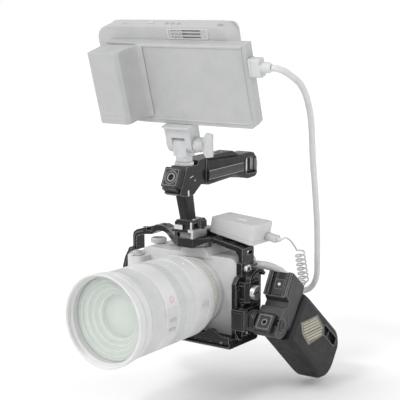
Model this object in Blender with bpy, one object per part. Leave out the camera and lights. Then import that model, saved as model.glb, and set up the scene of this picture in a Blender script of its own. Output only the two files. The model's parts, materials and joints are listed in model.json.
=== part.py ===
"""Cinema camera rig: a camera cage with a top handle, a tilting side handle and the gear it carries.

Frame: origin at the middle of the base plate's underside, below the lens axis.
-Y is the way the lens points, +X is the camera's left side, +Z is up.
Lengths in this file are millimetres; MM turns them into Blender's metres.
"""

import math

import bmesh
import bpy
from mathutils import Matrix, Vector

MM = 0.001
GAP = 0.3  # clearance between neighbouring pieces

# Base plate and cage
BASE_LEFT, BASE_RIGHT = -58.0, 52.5
BASE_FRONT, BASE_REAR = -38.0, 15.0
BASE_THICK = 9.0
SIDE_PLATE_X = 50.3
SIDE_PLATE_THICK = 5.0
SIDE_PLATE_TOP = 70.6
BRIDGE_UNDER, BRIDGE_TOP = 100.6, 104.8
LIP_UNDER = 95.6
SHOULDER_TILT = 10.5  # degrees that the right shoulder falls towards the side plate

# Camera and lens
LENS_Z = 49.0
FLANGE_Y = -31.0
LENS_FRONT_Y = -166.0
FILTER_RIM_R = 44.3
GLASS_R = 39.4
LENS_BORE_R = 34.5
LENS_CELL_R = 24.0
RECEIVER_FRONT = -19.0
RECEIVER_TOP_Z = 20.5
RECEIVER_SLOPE = 0.108  # the receiver's top rises towards its plug, against the shoulder's fall
BODY_REAR = 16.0
SHOULDER_Z = 87.0
HUMP_Z = 100.0
CAMERA_GRIP_LEFT, CAMERA_GRIP_TOP = -78.0, 79.0
FIXING_SCREW = (0, -12)
SOCKET_Y, SOCKET_Z = 8.6, 77.0

# Top handle
HANDLE_X = -1.0
TOP_KNOB = (-26, 118.8)  # Y and Z of the clamp knob's axis
CLAMP_WIDE = 22.0
CLAMP_FRONT, CLAMP_REAR = -38.0, -14.0
CLAMP_UNDER, CLAMP_TOP = 110.7, 123.4
HEAD_WIDE = 19.0
HEAD_TOP_Z = 177.6
NOSE_LEAN = 25.0

# Monitor and its mount
MOUNT_Y = -37.0
TILT_AXIS_Z = 199.0
MONITOR_LEAN = 16.5
MONITOR_LEFT, MONITOR_RIGHT = -92.0, 61.5
MONITOR_UNDER, MONITOR_TOP = 21.0, 114.4
HOUSING_NEAR, HOUSING_FAR = 10.9, 32.3
PACK_LEFT, PACK_RIGHT = -75.0, 87.5
PACK_TOP = 102.0
BATTERY_UNDER, BATTERY_TOP = 28.4, 100.4

# Side handle, in its own frame about the swivel axis
SWIVEL_Y, SWIVEL_Z = -18.0, 28.0
SWIVEL_R = 10.5
SIDE_KNOB = (62.4, 31)  # X and Z of the side clamp knob's axis
HANDLE_SWING = 51.0  # degrees that the grip is swung back from hanging straight down
HEAD_IN, HEAD_OUT = 74.0, 100.0
BOSS_R = 13.0
GRIP_IN, GRIP_OUT = 72.0, 104.0
GRIP_FRONT, GRIP_BACK = -11.0, 46.0
GRIP_TOP, GRIP_BOTTOM = -16.6, -120.0

PANEL = [(16.4, -27.3), (36.9, -51.6), (33, -71), (27, -74.7), (6.5, -53.9), (9.5, -36.4)]

# Cables
VIDEO_CABLE_R = 3.2
COIL_WIRE_R = 1.1


# ---------------------------------------------------------------- solids

def clear_scene():
    for old in list(bpy.data.objects):
        bpy.data.objects.remove(old, do_unlink=True)


def to_object(bm):
    """A new object in the scene from a closed bmesh drawn in millimetres."""
    bmesh.ops.remove_doubles(bm, verts=bm.verts, dist=0.0001)
    bmesh.ops.recalc_face_normals(bm, faces=bm.faces)
    bmesh.ops.scale(bm, vec=(MM, MM, MM), verts=bm.verts)
    mesh = bpy.data.meshes.new("solid")
    bm.to_mesh(mesh)
    bm.free()
    obj = bpy.data.objects.new("solid", mesh)
    bpy.context.collection.objects.link(obj)
    return obj


def rings_to_object(rings, closed=False):
    """A solid skinned over rings of points; a ring of one point is a tip."""
    bm = bmesh.new()
    loops = [[bm.verts.new(p) for p in ring] for ring in rings]
    pairs = list(zip(loops, loops[1:]))
    if closed:
        pairs.append((loops[-1], loops[0]))
    for a, b in pairs:
        count = max(len(a), len(b))
        for i in range(count):
            j = (i + 1) % count
            corners = [a[i % len(a)], a[j % len(a)], b[j % len(b)], b[i % len(b)]]
            unique = list(dict.fromkeys(corners))
            bm.faces.new(unique)
    if not closed:
        for end in (loops[0], loops[-1]):
            if len(end) > 2:
                bm.faces.new(end)
    return to_object(bm)


def along(axis, across, position):
    """A 3D point from a flat point and its place along the axis left out."""
    u, v = across
    return {"X": (position, u, v), "Y": (u, position, v), "Z": (u, v, position)}[axis]


def prism(axis, low, high, outline):
    """An outline pulled straight along one axis."""
    return rings_to_object([[along(axis, p, at) for p in outline] for at in (low, high)])


def box(low, high):
    outline = [(low[0], low[1]), (high[0], low[1]), (high[0], high[1]), (low[0], high[1])]
    return prism("Z", low[2], high[2], outline)


def loft(axis, sections):
    """A solid through several outlines, each given as (place along the axis, outline)."""
    return rings_to_object([[along(axis, p, at) for p in outline] for at, outline in sections])


def arc(centre, radius, start, end, steps):
    """Points along an arc, with its angles in degrees."""
    angles = [math.radians(start + (end - start) * i / steps) for i in range(steps + 1)]
    return [(centre[0] + radius * math.cos(a), centre[1] + radius * math.sin(a)) for a in angles]


def rounded(low, high, radius, steps=4):
    """A rectangle with round corners; radius may be one number or one for each corner."""
    radii = radius if isinstance(radius, (list, tuple)) else [radius] * 4
    corners = [(low[0], low[1], 180), (high[0], low[1], 270), (high[0], high[1], 0), (low[0], high[1], 90)]
    points = []
    for (u, v, start), r in zip(corners, radii):
        centre = (u + r if u == low[0] else u - r, v + r if v == low[1] else v - r)
        points += arc(centre, r, start, start + 90, steps)
    return points


def turned(axis, centre, profile, segments=40, closed=False):
    """A turned solid; the profile lists (radius, place along the axis)."""
    rings = []
    for radius, at in profile:
        if radius == 0:
            rings.append([along(axis, centre, at)])
            continue
        circle = arc(centre, radius, 0, 360, segments)[:-1]
        rings.append([along(axis, p, at) for p in circle])
    return rings_to_object(rings, closed)


def cylinder(axis, centre, radius, low, high, segments=32, chamfer=0.0):
    profile = [(radius, low), (radius, high)]
    if chamfer:
        profile = [(radius - chamfer, low), (radius, low + chamfer)]
        profile += [(radius, high - chamfer), (radius - chamfer, high)]
    return turned(axis, centre, profile, segments)


def smooth_path(points, steps):
    """A Catmull-Rom curve through the points."""
    knots = [Vector(p) for p in points]
    knots = [knots[0] * 2 - knots[1]] + knots + [knots[-1] * 2 - knots[-2]]
    path = []
    for a, b, c, d in zip(knots, knots[1:], knots[2:], knots[3:]):
        for i in range(steps):
            t = i / steps
            path.append(0.5 * (2 * b + (c - a) * t + (2 * a - 5 * b + 4 * c - d) * t**2
                               + (3 * b - a - 3 * c + d) * t**3))
    path.append(knots[-2])
    return path


def tube(path, radius, segments=10):
    """A round cord along a path of points."""
    path = [Vector(p) for p in path]
    rings = []
    side = (path[1] - path[0]).orthogonal().normalized()
    for i, point in enumerate(path):
        ahead = path[min(i + 1, len(path) - 1)] - path[max(i - 1, 0)]
        ahead.normalize()
        side = (side - ahead * side.dot(ahead)).normalized()
        other = ahead.cross(side)
        turns = [2 * math.pi * k / segments for k in range(segments)]
        rings.append([point + (side * math.cos(a) + other * math.sin(a)) * radius for a in turns])
    return rings_to_object(rings)


def band(path, thickness):
    """The outline of a strip of even thickness that follows a flat path."""
    path = [Vector(p) for p in path]
    left, right = [], []
    for i, point in enumerate(path):
        ahead = (path[min(i + 1, len(path) - 1)] - path[max(i - 1, 0)]).normalized()
        normal = Vector((-ahead.y, ahead.x)) * thickness / 2
        left.append(tuple(point + normal))
        right.append(tuple(point - normal))
    return left + right[::-1]


def combine(target, tool, operation):
    """Apply one Boolean to the target and throw the tool away."""
    modifier = target.modifiers.new("combine", "BOOLEAN")
    modifier.solver = "EXACT"
    modifier.operation = operation
    modifier.object = tool
    bpy.context.view_layer.update()
    depsgraph = bpy.context.evaluated_depsgraph_get()
    mesh = bpy.data.meshes.new_from_object(target.evaluated_get(depsgraph))
    target.modifiers.clear()
    target.data = mesh
    bpy.data.objects.remove(tool, do_unlink=True)


def cut(target, *tools):
    for tool in tools:
        combine(target, tool, "DIFFERENCE")
    return target


def join(target, *tools):
    for tool in tools:
        combine(target, tool, "UNION")
    return target


def turn(obj, axis, degrees, about):
    """Turn a solid before it is finished."""
    centre = Vector(about) * MM
    spin = Matrix.Rotation(math.radians(degrees), 4, axis)
    obj.data.transform(Matrix.Translation(centre) @ spin @ Matrix.Translation(-centre))
    return obj


def finish(obj, name, look, pivot=(0, 0, 0), parent=None):
    """Name the solid, put its origin on its pivot and hang it on its parent."""
    obj.name = name
    obj.data.name = name
    offset = Vector(pivot) * MM
    obj.data.transform(Matrix.Translation(-offset))
    obj.location = offset
    obj.parent = parent
    obj.data.materials.clear()
    obj.data.materials.append(look)
    obj.data.shade_smooth()
    obj.data.set_sharp_from_angle(angle=math.radians(32))
    return obj


def empty(name, location, rotation=(0, 0, 0)):
    holder = bpy.data.objects.new(name, None)
    holder.location = Vector(location) * MM
    holder.rotation_euler = [math.radians(a) for a in rotation]
    bpy.context.collection.objects.link(holder)
    return holder


def material(name, colour, roughness, metallic=0.0):
    look = bpy.data.materials.new(name)
    look.use_nodes = True
    shader = look.node_tree.nodes["Principled BSDF"]
    shader.inputs["Base Color"].default_value = (*colour, 1.0)
    shader.inputs["Roughness"].default_value = roughness
    shader.inputs["Metallic"].default_value = metallic
    return look


def make_materials():
    return {
        "anodised": material("black_anodised", (0.035, 0.036, 0.038), 0.42, 0.6),
        "coated": material("black_coated", (0.03, 0.031, 0.032), 0.5, 0.2),
        "silver": material("bright_steel", (0.72, 0.72, 0.73), 0.25, 1.0),
        "rubber": material("grip_rubber", (0.035, 0.035, 0.035), 0.75),
        "label": material("khaki_panel", (0.47, 0.45, 0.37), 0.6),
        "payload": material("pale_grey_body", (0.6, 0.6, 0.61), 0.5),
        "payload_soft": material("pale_grey_ribbed", (0.54, 0.54, 0.55), 0.65),
        "payload_metal": material("pale_grey_metal", (0.7, 0.7, 0.7), 0.35, 0.3),
        "glass": material("coated_glass", (0.5, 0.56, 0.53), 0.05),
        "cord": material("pale_grey_cord", (0.56, 0.56, 0.57), 0.6),
    }


# ---------------------------------------------------------------- cage

def base_plate(looks):
    profile = [(BASE_FRONT + 2, 0), (BASE_REAR - 2, 0), (BASE_REAR, 1.6), (BASE_REAR, 2.6)]
    profile += [(BASE_REAR - 2.2, 4.6), (BASE_REAR, 6.6), (BASE_REAR, BASE_THICK)]
    profile += [(BASE_FRONT, BASE_THICK), (BASE_FRONT, 6.6), (BASE_FRONT + 2.2, 4.6)]
    profile += [(BASE_FRONT, 2.6), (BASE_FRONT, 1.6)]
    plate = prism("X", BASE_LEFT, BASE_RIGHT, profile)
    half = [(18, 12.2), (23, 13), (27, 17), (31, 19), (35, 18), (40, 14), (45, 12.4), (BASE_RIGHT, 11.6)]
    lip = [(BASE_LEFT, 8), (BASE_RIGHT, 8)] + half[::-1]
    lip += [(-x, z) for x, z in half[:-1]] + [(BASE_LEFT, 11.6)]
    join(plate, prism("Y", BASE_FRONT, BASE_FRONT + 3, lip))
    cut(
        plate,
        cylinder("Z", FIXING_SCREW, 3.4, -1, 10, 24),
        cylinder("Z", FIXING_SCREW, 7.0, -1, 3.4, 24),
        cylinder("Z", (-24, -8), 2.1, -1, 10, 16),
        cylinder("Z", (24, -8), 2.1, -1, 10, 16),
        prism("Z", -1, 10, rounded((-46, -14), (-34, -2), 2, 2)),
    )
    finish(plate, "cage_base_plate", looks["anodised"])

    screw = turned("Z", FIXING_SCREW, [(6.2, 0.4), (6.2, 3.0), (3.0, 3.0), (3.0, 15.0)], 24)
    cut(screw, box((-7, FIXING_SCREW[1] - 0.8, 0), (7, FIXING_SCREW[1] + 0.8, 1.4)))
    finish(screw, "camera_fixing_screw", looks["silver"])


def side_plate(looks):
    outline = [(-30, 9.3), (-30, 64), (-25, SIDE_PLATE_TOP), (14, SIDE_PLATE_TOP), (16, 66), (16, 9.3)]
    low, high = SIDE_PLATE_X, SIDE_PLATE_X + SIDE_PLATE_THICK
    plate = prism("X", low, high, outline)
    cut(plate, prism("X", low - 1, high + 1, rounded((0, 40), (11, 64), 3, 3)))
    brace = prism("Y", -30, -25.5, [(high - 0.5, 9.3), (high + 5, 9.3), (high - 0.5, 16.5)])
    cut(brace, prism("Y", -31, -25, [(high + 0.2, 10.4), (high + 2.4, 10.4), (high + 0.2, 13.4)]))
    join(plate, brace)
    rail = [(high - 0.5, -22), (high - 0.5, -12), (high + 1.6, -11), (high + 3.2, -9.4)]
    rail += [(high + 4.4, -10.6), (high + 4.4, -23.4), (high + 3.2, -24.6), (high + 1.6, -23)]
    join(plate, prism("Z", 12, 44, rail))
    finish(plate, "cage_side_plate", looks["anodised"])


def bridge(looks):
    plan = [(-22, -26), (-10, -36), (8, -36), (20, -20), (20, 12), (-22, 12)]
    plate = prism("Z", BRIDGE_UNDER, BRIDGE_TOP, plan)
    lip = [(-22, -26), (-10, -36), (8, -36), (20, -20), (17, -18.6), (6.6, -33), (-9, -33), (-20, -23.6)]
    join(plate, prism("Z", LIP_UNDER, BRIDGE_UNDER + 1, lip))
    window = prism("Y", -6, 6, [(2.4, LIP_UNDER + 1), (17, LIP_UNDER + 1), (17, BRIDGE_UNDER + 0.4)])
    facet = math.degrees(math.atan2(16, 12))
    turn(window, "Z", facet, (0, 0, 0))
    window.data.transform(Matrix.Translation(Vector((8, -36, 0)) * MM))
    cut(plate, window)
    half = [(6.4, 104), (6.4, 106.4), (8.2, 108.2), (8.2, 108.9), (6.8, 110.3)]
    section = [(HANDLE_X + x, z) for x, z in half] + [(HANDLE_X - x, z) for x, z in half[::-1]]
    join(plate, prism("Y", -35, 11, section))
    finish(plate, "cage_top_bridge", looks["anodised"])


def left_arm(looks):
    top = [(-90, 78), (-90, 94), (-88.6, 97.5), (-85, 100), (-76, 102.6), (-72, 103.4), (-72, 100.4)]
    top += [(-65, 100.4), (-65, 105.2), (-60, 107.6), (-52, 108), (-45, 105.6)]
    under = [(-45, 99.6), (-50, 101.6), (-58, 101.4), (-65, 97), (-79, 95.4), (-85.4, 92.5), (-85.4, 78)]
    arm = prism("Y", -6, 8, top + under)
    near = [(-6, 99.7), (8, 99.7), (8, 105.5), (-6, 105.5)]
    far = [(-25.5, LIP_UNDER), (8, 98.4), (8, BRIDGE_TOP), (-25.5, BRIDGE_TOP)]
    join(arm, loft("X", [(-46, near), (-22 - GAP, far)]))
    path = [(-88.6, 81), (-90.5, 77), (-94.4, 70), (-97.2, 60), (-98.2, 46)]
    path += [(-96.4, 32), (-91, 19), (-83, 8.5), (-74, 4.6), (BASE_LEFT - GAP, 4.2)]
    join(arm, prism("Y", -13, -4, band(path, 2.6)))
    finish(arm, "cage_left_arm", looks["anodised"])


def shoulder_z(x):
    """Height of the right shoulder's top face."""
    return 104.2 - math.tan(math.radians(SHOULDER_TILT)) * (x - 20.3)


def right_arm(looks):
    post = SIDE_PLATE_X + 4.5
    slope = [(20.3, shoulder_z(20.3)), (50, shoulder_z(50)), (post, 97.2), (post, 84), (SIDE_PLATE_X, 84)]
    slope += [(SIDE_PLATE_X, 89), (46.5, 94), (20.3, 99.6)]
    arm = prism("Y", -18, -3, slope)
    shelf = [(x, shoulder_z(x) - drop) for x, drop in ((24, 0.2), (49, 0.2), (49, 3.6), (24, 3.6))]
    join(
        arm,
        prism("Y", -3.6, 20, shelf),
        box((SIDE_PLATE_X + 0.1, -13.5, 77.8), (post - 0.1, 3.2, 96.8)),
        box((SIDE_PLATE_X + 0.2, -22, 71.2), (57, -8, 83.7)),
        box((SIDE_PLATE_X + 1, -8.5, 78.2), (59, 3.0, 81)),
    )
    cut(
        arm,
        prism("X", 48, 60, rounded((-9.5, 90.2), (0.5, 93.8), 1.7, 3)),
        cylinder("X", (-15.4, 78), 2.4, 53, 60, 16),
    )
    finish(arm, "cage_right_arm", looks["anodised"])

    bolt = turned("X", (-15.4, 78), [(2.0, 53.4), (2.0, 57.3), (4.4, 57.3), (4.4, 60.6), (3.8, 61.2)], 20)
    cut(bolt, cylinder("X", (-15.4, 78), 2.2, 59.2, 63, 6))
    finish(bolt, "lug_bolt", looks["silver"])


def cable_clamp(looks):
    inner = SIDE_PLATE_X + SIDE_PLATE_THICK + GAP
    block = prism("Z", 46, 66, [(inner, -25), (62, -25), (66, -21), (66, -5), (inner, -5)])
    cut(block, cylinder("X", (-15.5, 55.5), 2.6, inner - 1, 70, 16))
    finish(block, "cable_clamp_block", looks["anodised"])

    path = [(-21.5, 68.5), (-19, 72.5), (-13, 75.4), (-6, 76.2), (0, 74.4), (4, 70.5)]
    hook = prism("X", 61.8, 67.6, band([(-21.5, 66.4)] + path, 3.2))
    finish(hook, "cable_clamp_hook", looks["anodised"])

    profile = [(2.3, inner + 0.6), (2.3, 66.4), (7.2, 66.4), (7.2, 70.6), (6.6, 71.2)]
    knob = turned("X", (-15.5, 55.5), profile, 28)
    cut(knob, box((69.6, -23, 54.5), (73, -8, 56.5)))
    finish(knob, "cable_clamp_knob", looks["silver"], (68, -15.5, 55.5))


# ---------------------------------------------------------------- camera

def camera_body(looks):
    main = prism("Y", -20, BODY_REAR, rounded((-66, 9.3), (50, SHOULDER_Z), [4, 4, 9, 6], 3))
    hump_front = [(-19.5, 84), (19.5, 84), (13, 95), (11, HUMP_Z), (-11, HUMP_Z), (-13, 95)]
    hump_back = [(-20, 84), (20, 84), (18, HUMP_Z), (12, HUMP_Z), (-12, HUMP_Z), (-18, HUMP_Z)]
    hump = loft("Y", [(-22, hump_front), (BODY_REAR + 3, hump_back)])
    grip = prism("Z", 9.3, CAMERA_GRIP_TOP, rounded((CAMERA_GRIP_LEFT, -36), (-56, 10), [9, 7, 2, 8], 4))
    collar = cylinder("Y", (0, LENS_Z), 35.0, FLANGE_Y + 4.3, -19, 40)
    join(main, hump, grip, collar)
    cut(
        main,
        cylinder("Z", FIXING_SCREW, 3.3, 8, 16, 16),
        cylinder("X", (SOCKET_Y, SOCKET_Z), 4.6, 40, 60, 16),
    )
    finish(main, "camera_body", looks["payload"])

    ring = turned("Y", (0, LENS_Z), [(33, -26.9), (33, -30.6), (26, -30.6), (26, -26.9)], 40, True)
    finish(ring, "camera_lens_mount", looks["payload_metal"])
    cup = prism("Y", BODY_REAR + 3 + GAP, BODY_REAR + 10, rounded((-17, 80), (17, 98.5), 6, 4))
    cut(cup, prism("Y", BODY_REAR + 5, BODY_REAR + 12, rounded((-12, 84), (12, 95), 4, 3)))
    finish(cup, "camera_eyecup", looks["payload_soft"])


def camera_controls(looks):
    top = SHOULDER_Z + GAP
    dial = cylinder("Z", (-62, 2), 8.0, top, top + 5.4, 32, 0.6)
    finish(dial, "camera_mode_dial", looks["payload_soft"], (-62, 2, top))
    rear_dial = cylinder("Z", (-43, 4), 6.0, top, top + 3.6, 28, 0.5)
    finish(rear_dial, "camera_exposure_dial", looks["payload_soft"], (-43, 4, top))
    shutter = (-67.5, -28)
    low = CAMERA_GRIP_TOP + GAP
    button = cylinder("Z", shutter, 4.6, low + 1.3, low + 3.9, 24, 0.5)
    finish(button, "camera_shutter_button", looks["payload_metal"], (*shutter, low + 1.3))
    switch = turned("Z", shutter, [(7, low), (7, low + 2.1), (5.0, low + 2.1), (5.0, low)], 28, True)
    join(switch, box((shutter[0] - 1.8, -37, low + 0.2), (shutter[0] + 1.8, -34, low + 1.9)))
    finish(switch, "camera_power_switch", looks["payload_soft"], (*shutter, low))
    screen = prism("Y", BODY_REAR + GAP, BODY_REAR + 4.6, rounded((-42, 16), (34, 72), 3, 3))
    finish(screen, "camera_rear_screen", looks["payload_soft"], (0, BODY_REAR + 4.6, 72))


def lens(looks):
    axis = (0, LENS_Z)
    barrel = [(30.5, FLANGE_Y), (33, FLANGE_Y - 3), (36, FLANGE_Y - 7), (40.8, FLANGE_Y - 14)]
    barrel += [(41.4, FLANGE_Y - 18), (41.4, -77.8), (40.0, -77.8), (40.0, -104.0), (42.2, -104.0)]
    barrel += [(42.2, -124.6), (40.0, -124.6), (40.0, -146.4), (LENS_BORE_R, -146.4), (LENS_BORE_R, -66)]
    barrel += [(LENS_CELL_R, -60), (LENS_CELL_R, FLANGE_Y)]
    finish(turned("Y", axis, barrel, 40, True), "lens_main_barrel", looks["payload"])
    ring = [(40.3, -78.2), (41.8, -78.2), (41.8, -103.6), (40.3, -103.6)]
    finish(turned("Y", axis, ring, 40, True), "lens_zoom_ring", looks["payload_soft"], (0, -90, LENS_Z))
    ring = [(40.3, -125.0), (42.0, -125.0), (42.6, -146.2), (40.3, -146.2)]
    finish(turned("Y", axis, ring, 40, True), "lens_focus_ring", looks["payload_soft"], (0, -135, LENS_Z))
    tube_r = LENS_BORE_R - 0.4
    front = [(tube_r, -112), (tube_r, -146.9), (43.0, -146.9), (43.4, -154.6), (42.2, -155.6), (42.2, -157.6)]
    front += [(FILTER_RIM_R, -158.4), (FILTER_RIM_R, LENS_FRONT_Y), (42.4, LENS_FRONT_Y), (42.2, -161.6)]
    front += [(GLASS_R + 0.5, -160.2), (GLASS_R + 0.3, -148.4), (LENS_CELL_R, -148.4), (LENS_CELL_R, -112)]
    finish(turned("Y", axis, front, 40, True), "lens_front_barrel", looks["payload"], (0, -140, LENS_Z))
    dome = [(0, -160.0), (13, -159.6), (26, -158.2), (35, -156.0), (GLASS_R, -154.4), (GLASS_R, -148.8)]
    dome += [(0, -148.8)]
    finish(turned("Y", axis, dome, 40), "lens_front_element", looks["glass"], (0, -150, LENS_Z))
    slider = box((41.7, -66, LENS_Z - 1), (43.4, -58, LENS_Z + 3))
    finish(slider, "lens_focus_switch", looks["payload_metal"], (42, -62, LENS_Z + 1))


# ---------------------------------------------------------------- top handle

def top_clamp(looks):
    left = HANDLE_X - CLAMP_WIDE / 2
    right = HANDLE_X + CLAMP_WIDE / 2
    body = prism("Y", CLAMP_FRONT, CLAMP_REAR, [
        (left, 105.3), (left + 3.0, 105.3), (left + 3.0, 106.6), (left + 2.4, 108.5), (left + 2.4, CLAMP_UNDER),
        (right, CLAMP_UNDER), (right, 120.6), (right - 2.6, CLAMP_TOP), (left + 2.6, CLAMP_TOP), (left, 120.6),
    ])
    cut(
        body,
        box((right - 6.3, CLAMP_FRONT - 1, 110), (right + 1, CLAMP_REAR + 1, 114.6)),
        cylinder("X", TOP_KNOB, 2.5, -3, right + 1, 16),
        cylinder("Y", (-7, 116.2), 2.9, CLAMP_FRONT - 1, -31, 16),
    )
    finish(body, "top_clamp_body", looks["anodised"])

    jaw = prism("Y", CLAMP_FRONT, CLAMP_REAR, [
        (right - 3.0, 105.3), (right, 105.3), (right, 114.2), (right - 6.0, 114.2), (right - 6.0, 111.2),
        (right - 2.4, 111.2), (right - 2.4, 108.5), (right - 3.0, 106.6),
    ])
    finish(jaw, "top_clamp_jaw", looks["silver"], (right, -26, 110))
    profile = [(2.2, -2.6), (2.2, right + 0.4), (4.3, right + 0.4), (4.3, right + 4.4), (3.7, right + 5)]
    knob = turned("X", TOP_KNOB, profile, 24)
    cut(knob, cylinder("X", TOP_KNOB, 2.0, right + 3.4, right + 8, 6))
    finish(knob, "top_clamp_knob", looks["anodised"], (right, *TOP_KNOB))
    button = cylinder("Y", (-7, 116.2), 2.5, CLAMP_FRONT - 1.8, -32.4, 20, 0.3)
    finish(button, "top_clamp_safety_button", looks["silver"], (-7, CLAMP_FRONT, 116.2))


def top_handle(looks):
    low = HANDLE_X - HEAD_WIDE / 2
    high = HANDLE_X + HEAD_WIDE / 2
    outline = [(-57, 151.5), (-52, 149.4), (-44, 148.6), (-34, 149.2), (-21.5, 157.8), (-13.5, 156.5)]
    outline += [(-13.5, 184), (-26, 182), (-27.5, HEAD_TOP_Z), (-45, HEAD_TOP_Z)]
    frame = prism("X", low, high, outline)
    foot = rounded((-7, -37.4), (5, -24), 2.4, 3)
    knee = rounded((-7, -45.5), (5, -29), 2.4, 3)
    join(frame, loft("Z", [(CLAMP_TOP + GAP, foot), (151, knee)]))
    cut(frame, cylinder("Z", (HANDLE_X, MOUNT_Y), 3.3, 168, 180, 16))
    finish(frame, "top_handle_frame", looks["anodised"])

    def section(under, widest, top):
        half = [(6.5, under), (11.5, under + 3), (13.8, widest), (11.6, widest + 5), (10.4, top - 3), (8, top)]
        return [(HANDLE_X + x, z) for x, z in half] + [(HANDLE_X - x, z) for x, z in half[::-1]]

    grip = loft("Y", [
        (-13.2, section(156.3, 164.5, 180.6)),
        (-4, section(155.0, 164.0, 180.6)),
        (35, section(157.6, 165.2, 179.6)),
        (52, section(155.6, 165.4, 179.0)),
    ])
    finish(grip, "top_handle_grip", looks["rubber"])

    loop = [(52.3, 155.6), (66, 152.9), (72, 153.2), (80, 153.8), (83.4, 156.6), (84, 168)]
    loop += [(82.5, 174), (77, 179.6), (70, 181), (60, 180.2), (52.3, 178.9)]
    ring = prism("X", low + 1, high - 1, loop)
    cut(ring, prism("X", low - 1, high + 1, rounded((60, 158.2), (80.6, 175.4), 3, 3)))
    finish(ring, "top_handle_strap_loop", looks["anodised"])
    pin = cylinder("Z", (HANDLE_X, 74.5), 1.5, 158.6, 175.0, 16)
    finish(pin, "strap_loop_pin", looks["silver"])

    cover = prism("X", HANDLE_X - 7.6, HANDLE_X + 7.6,
                  [(-12.8, 181), (50, 179.6), (47.5, 180.4), (38.5, 184.8), (36, 185.2), (-12.8, 183.8)])
    finish(cover, "top_handle_cover", looks["coated"])


def nose_block(looks):
    """The accessory block that leans back on the front of the handle's head."""
    holder = empty("nose_frame", (HANDLE_X, -57, 151.5), (-NOSE_LEAN, 0, 0))
    half = HEAD_WIDE / 2
    block = prism("Y", -8.0, -GAP, rounded((-half - 0.6, 4.6), (half - 0.6, 25.0), 1.6, 2))
    cut(block, cylinder("Y", (-0.6, 14.8), 4.9, -9, -5.6, 24), cylinder("Y", (-0.6, 14.8), 2.0, -6, 1, 16))
    finish(block, "nose_block", looks["coated"], parent=holder)
    ring = turned("Y", (-0.6, 14.8), [(4.6, -8.3), (4.6, -5.9), (3.1, -5.9), (3.1, -8.3)], 24, True)
    finish(ring, "nose_thread_insert", looks["silver"], parent=holder)


# ---------------------------------------------------------------- monitor

def monitor_mount(looks):
    axis = (HANDLE_X, MOUNT_Y)
    disc = turned("Z", axis, [(3.6, 178.0), (9.4, 178.0), (9.4, 181.4), (3.6, 181.4)], 32, True)
    finish(disc, "mount_lock_disc", looks["payload_metal"], (*axis, 178))
    base = turned("Z", axis, [(3.0, 170), (3.0, 181.8), (8.2, 181.8), (8.2, 187), (7.4, 188)], 28)
    tongue = arc((MOUNT_Y, TILT_AXIS_Z), 8.2, 0, 180, 12) + [(MOUNT_Y - 7.4, 187), (MOUNT_Y + 7.4, 187)]
    join(base, prism("X", HANDLE_X - 7.5, HANDLE_X + 7.5, tongue))
    cut(base, cylinder("X", (MOUNT_Y, TILT_AXIS_Z), 3.2, -20, 20, 20))
    finish(base, "mount_pan_base", looks["payload_metal"], (*axis, 182))

    ear = arc((0, 0), 8.6, 180, 360, 12) + [(8.6, MONITOR_UNDER - 0.4), (-8.6, MONITOR_UNDER - 0.4)]
    head = prism("X", HANDLE_X - 14.5, HANDLE_X + 14.5, ear)
    cut(
        head,
        box((HANDLE_X - 7.8, -10, -10), (HANDLE_X + 7.8, 10, 9)),
        cylinder("X", (0, 0), 3.2, -30, 30, 20),
    )
    holder = empty("monitor_tilt_frame", (0, MOUNT_Y, TILT_AXIS_Z), (MONITOR_LEAN, 0, 0))
    finish(head, "mount_tilt_head", looks["payload_metal"], (HANDLE_X, 0, 0), holder)

    x = HANDLE_X + 14.5 + GAP
    tilt_axis = (MOUNT_Y, TILT_AXIS_Z)
    shaft = turned("X", tilt_axis, [(2.9, -16), (2.9, x), (7.2, x), (7.2, x + 6), (4.4, x + 9)], 28)
    wing = [(x + 6, -3.2), (x + 12, -12), (x + 18.5, -11), (x + 18.5, 11), (x + 12, 12), (x + 6, 3.2)]
    blade = prism("Y", MOUNT_Y - 1.8, MOUNT_Y + 1.8, [(u, v + TILT_AXIS_Z) for u, v in wing])
    join(shaft, blade)
    finish(shaft, "mount_wing_knob", looks["payload_metal"], (x, MOUNT_Y, TILT_AXIS_Z))
    return holder


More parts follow.
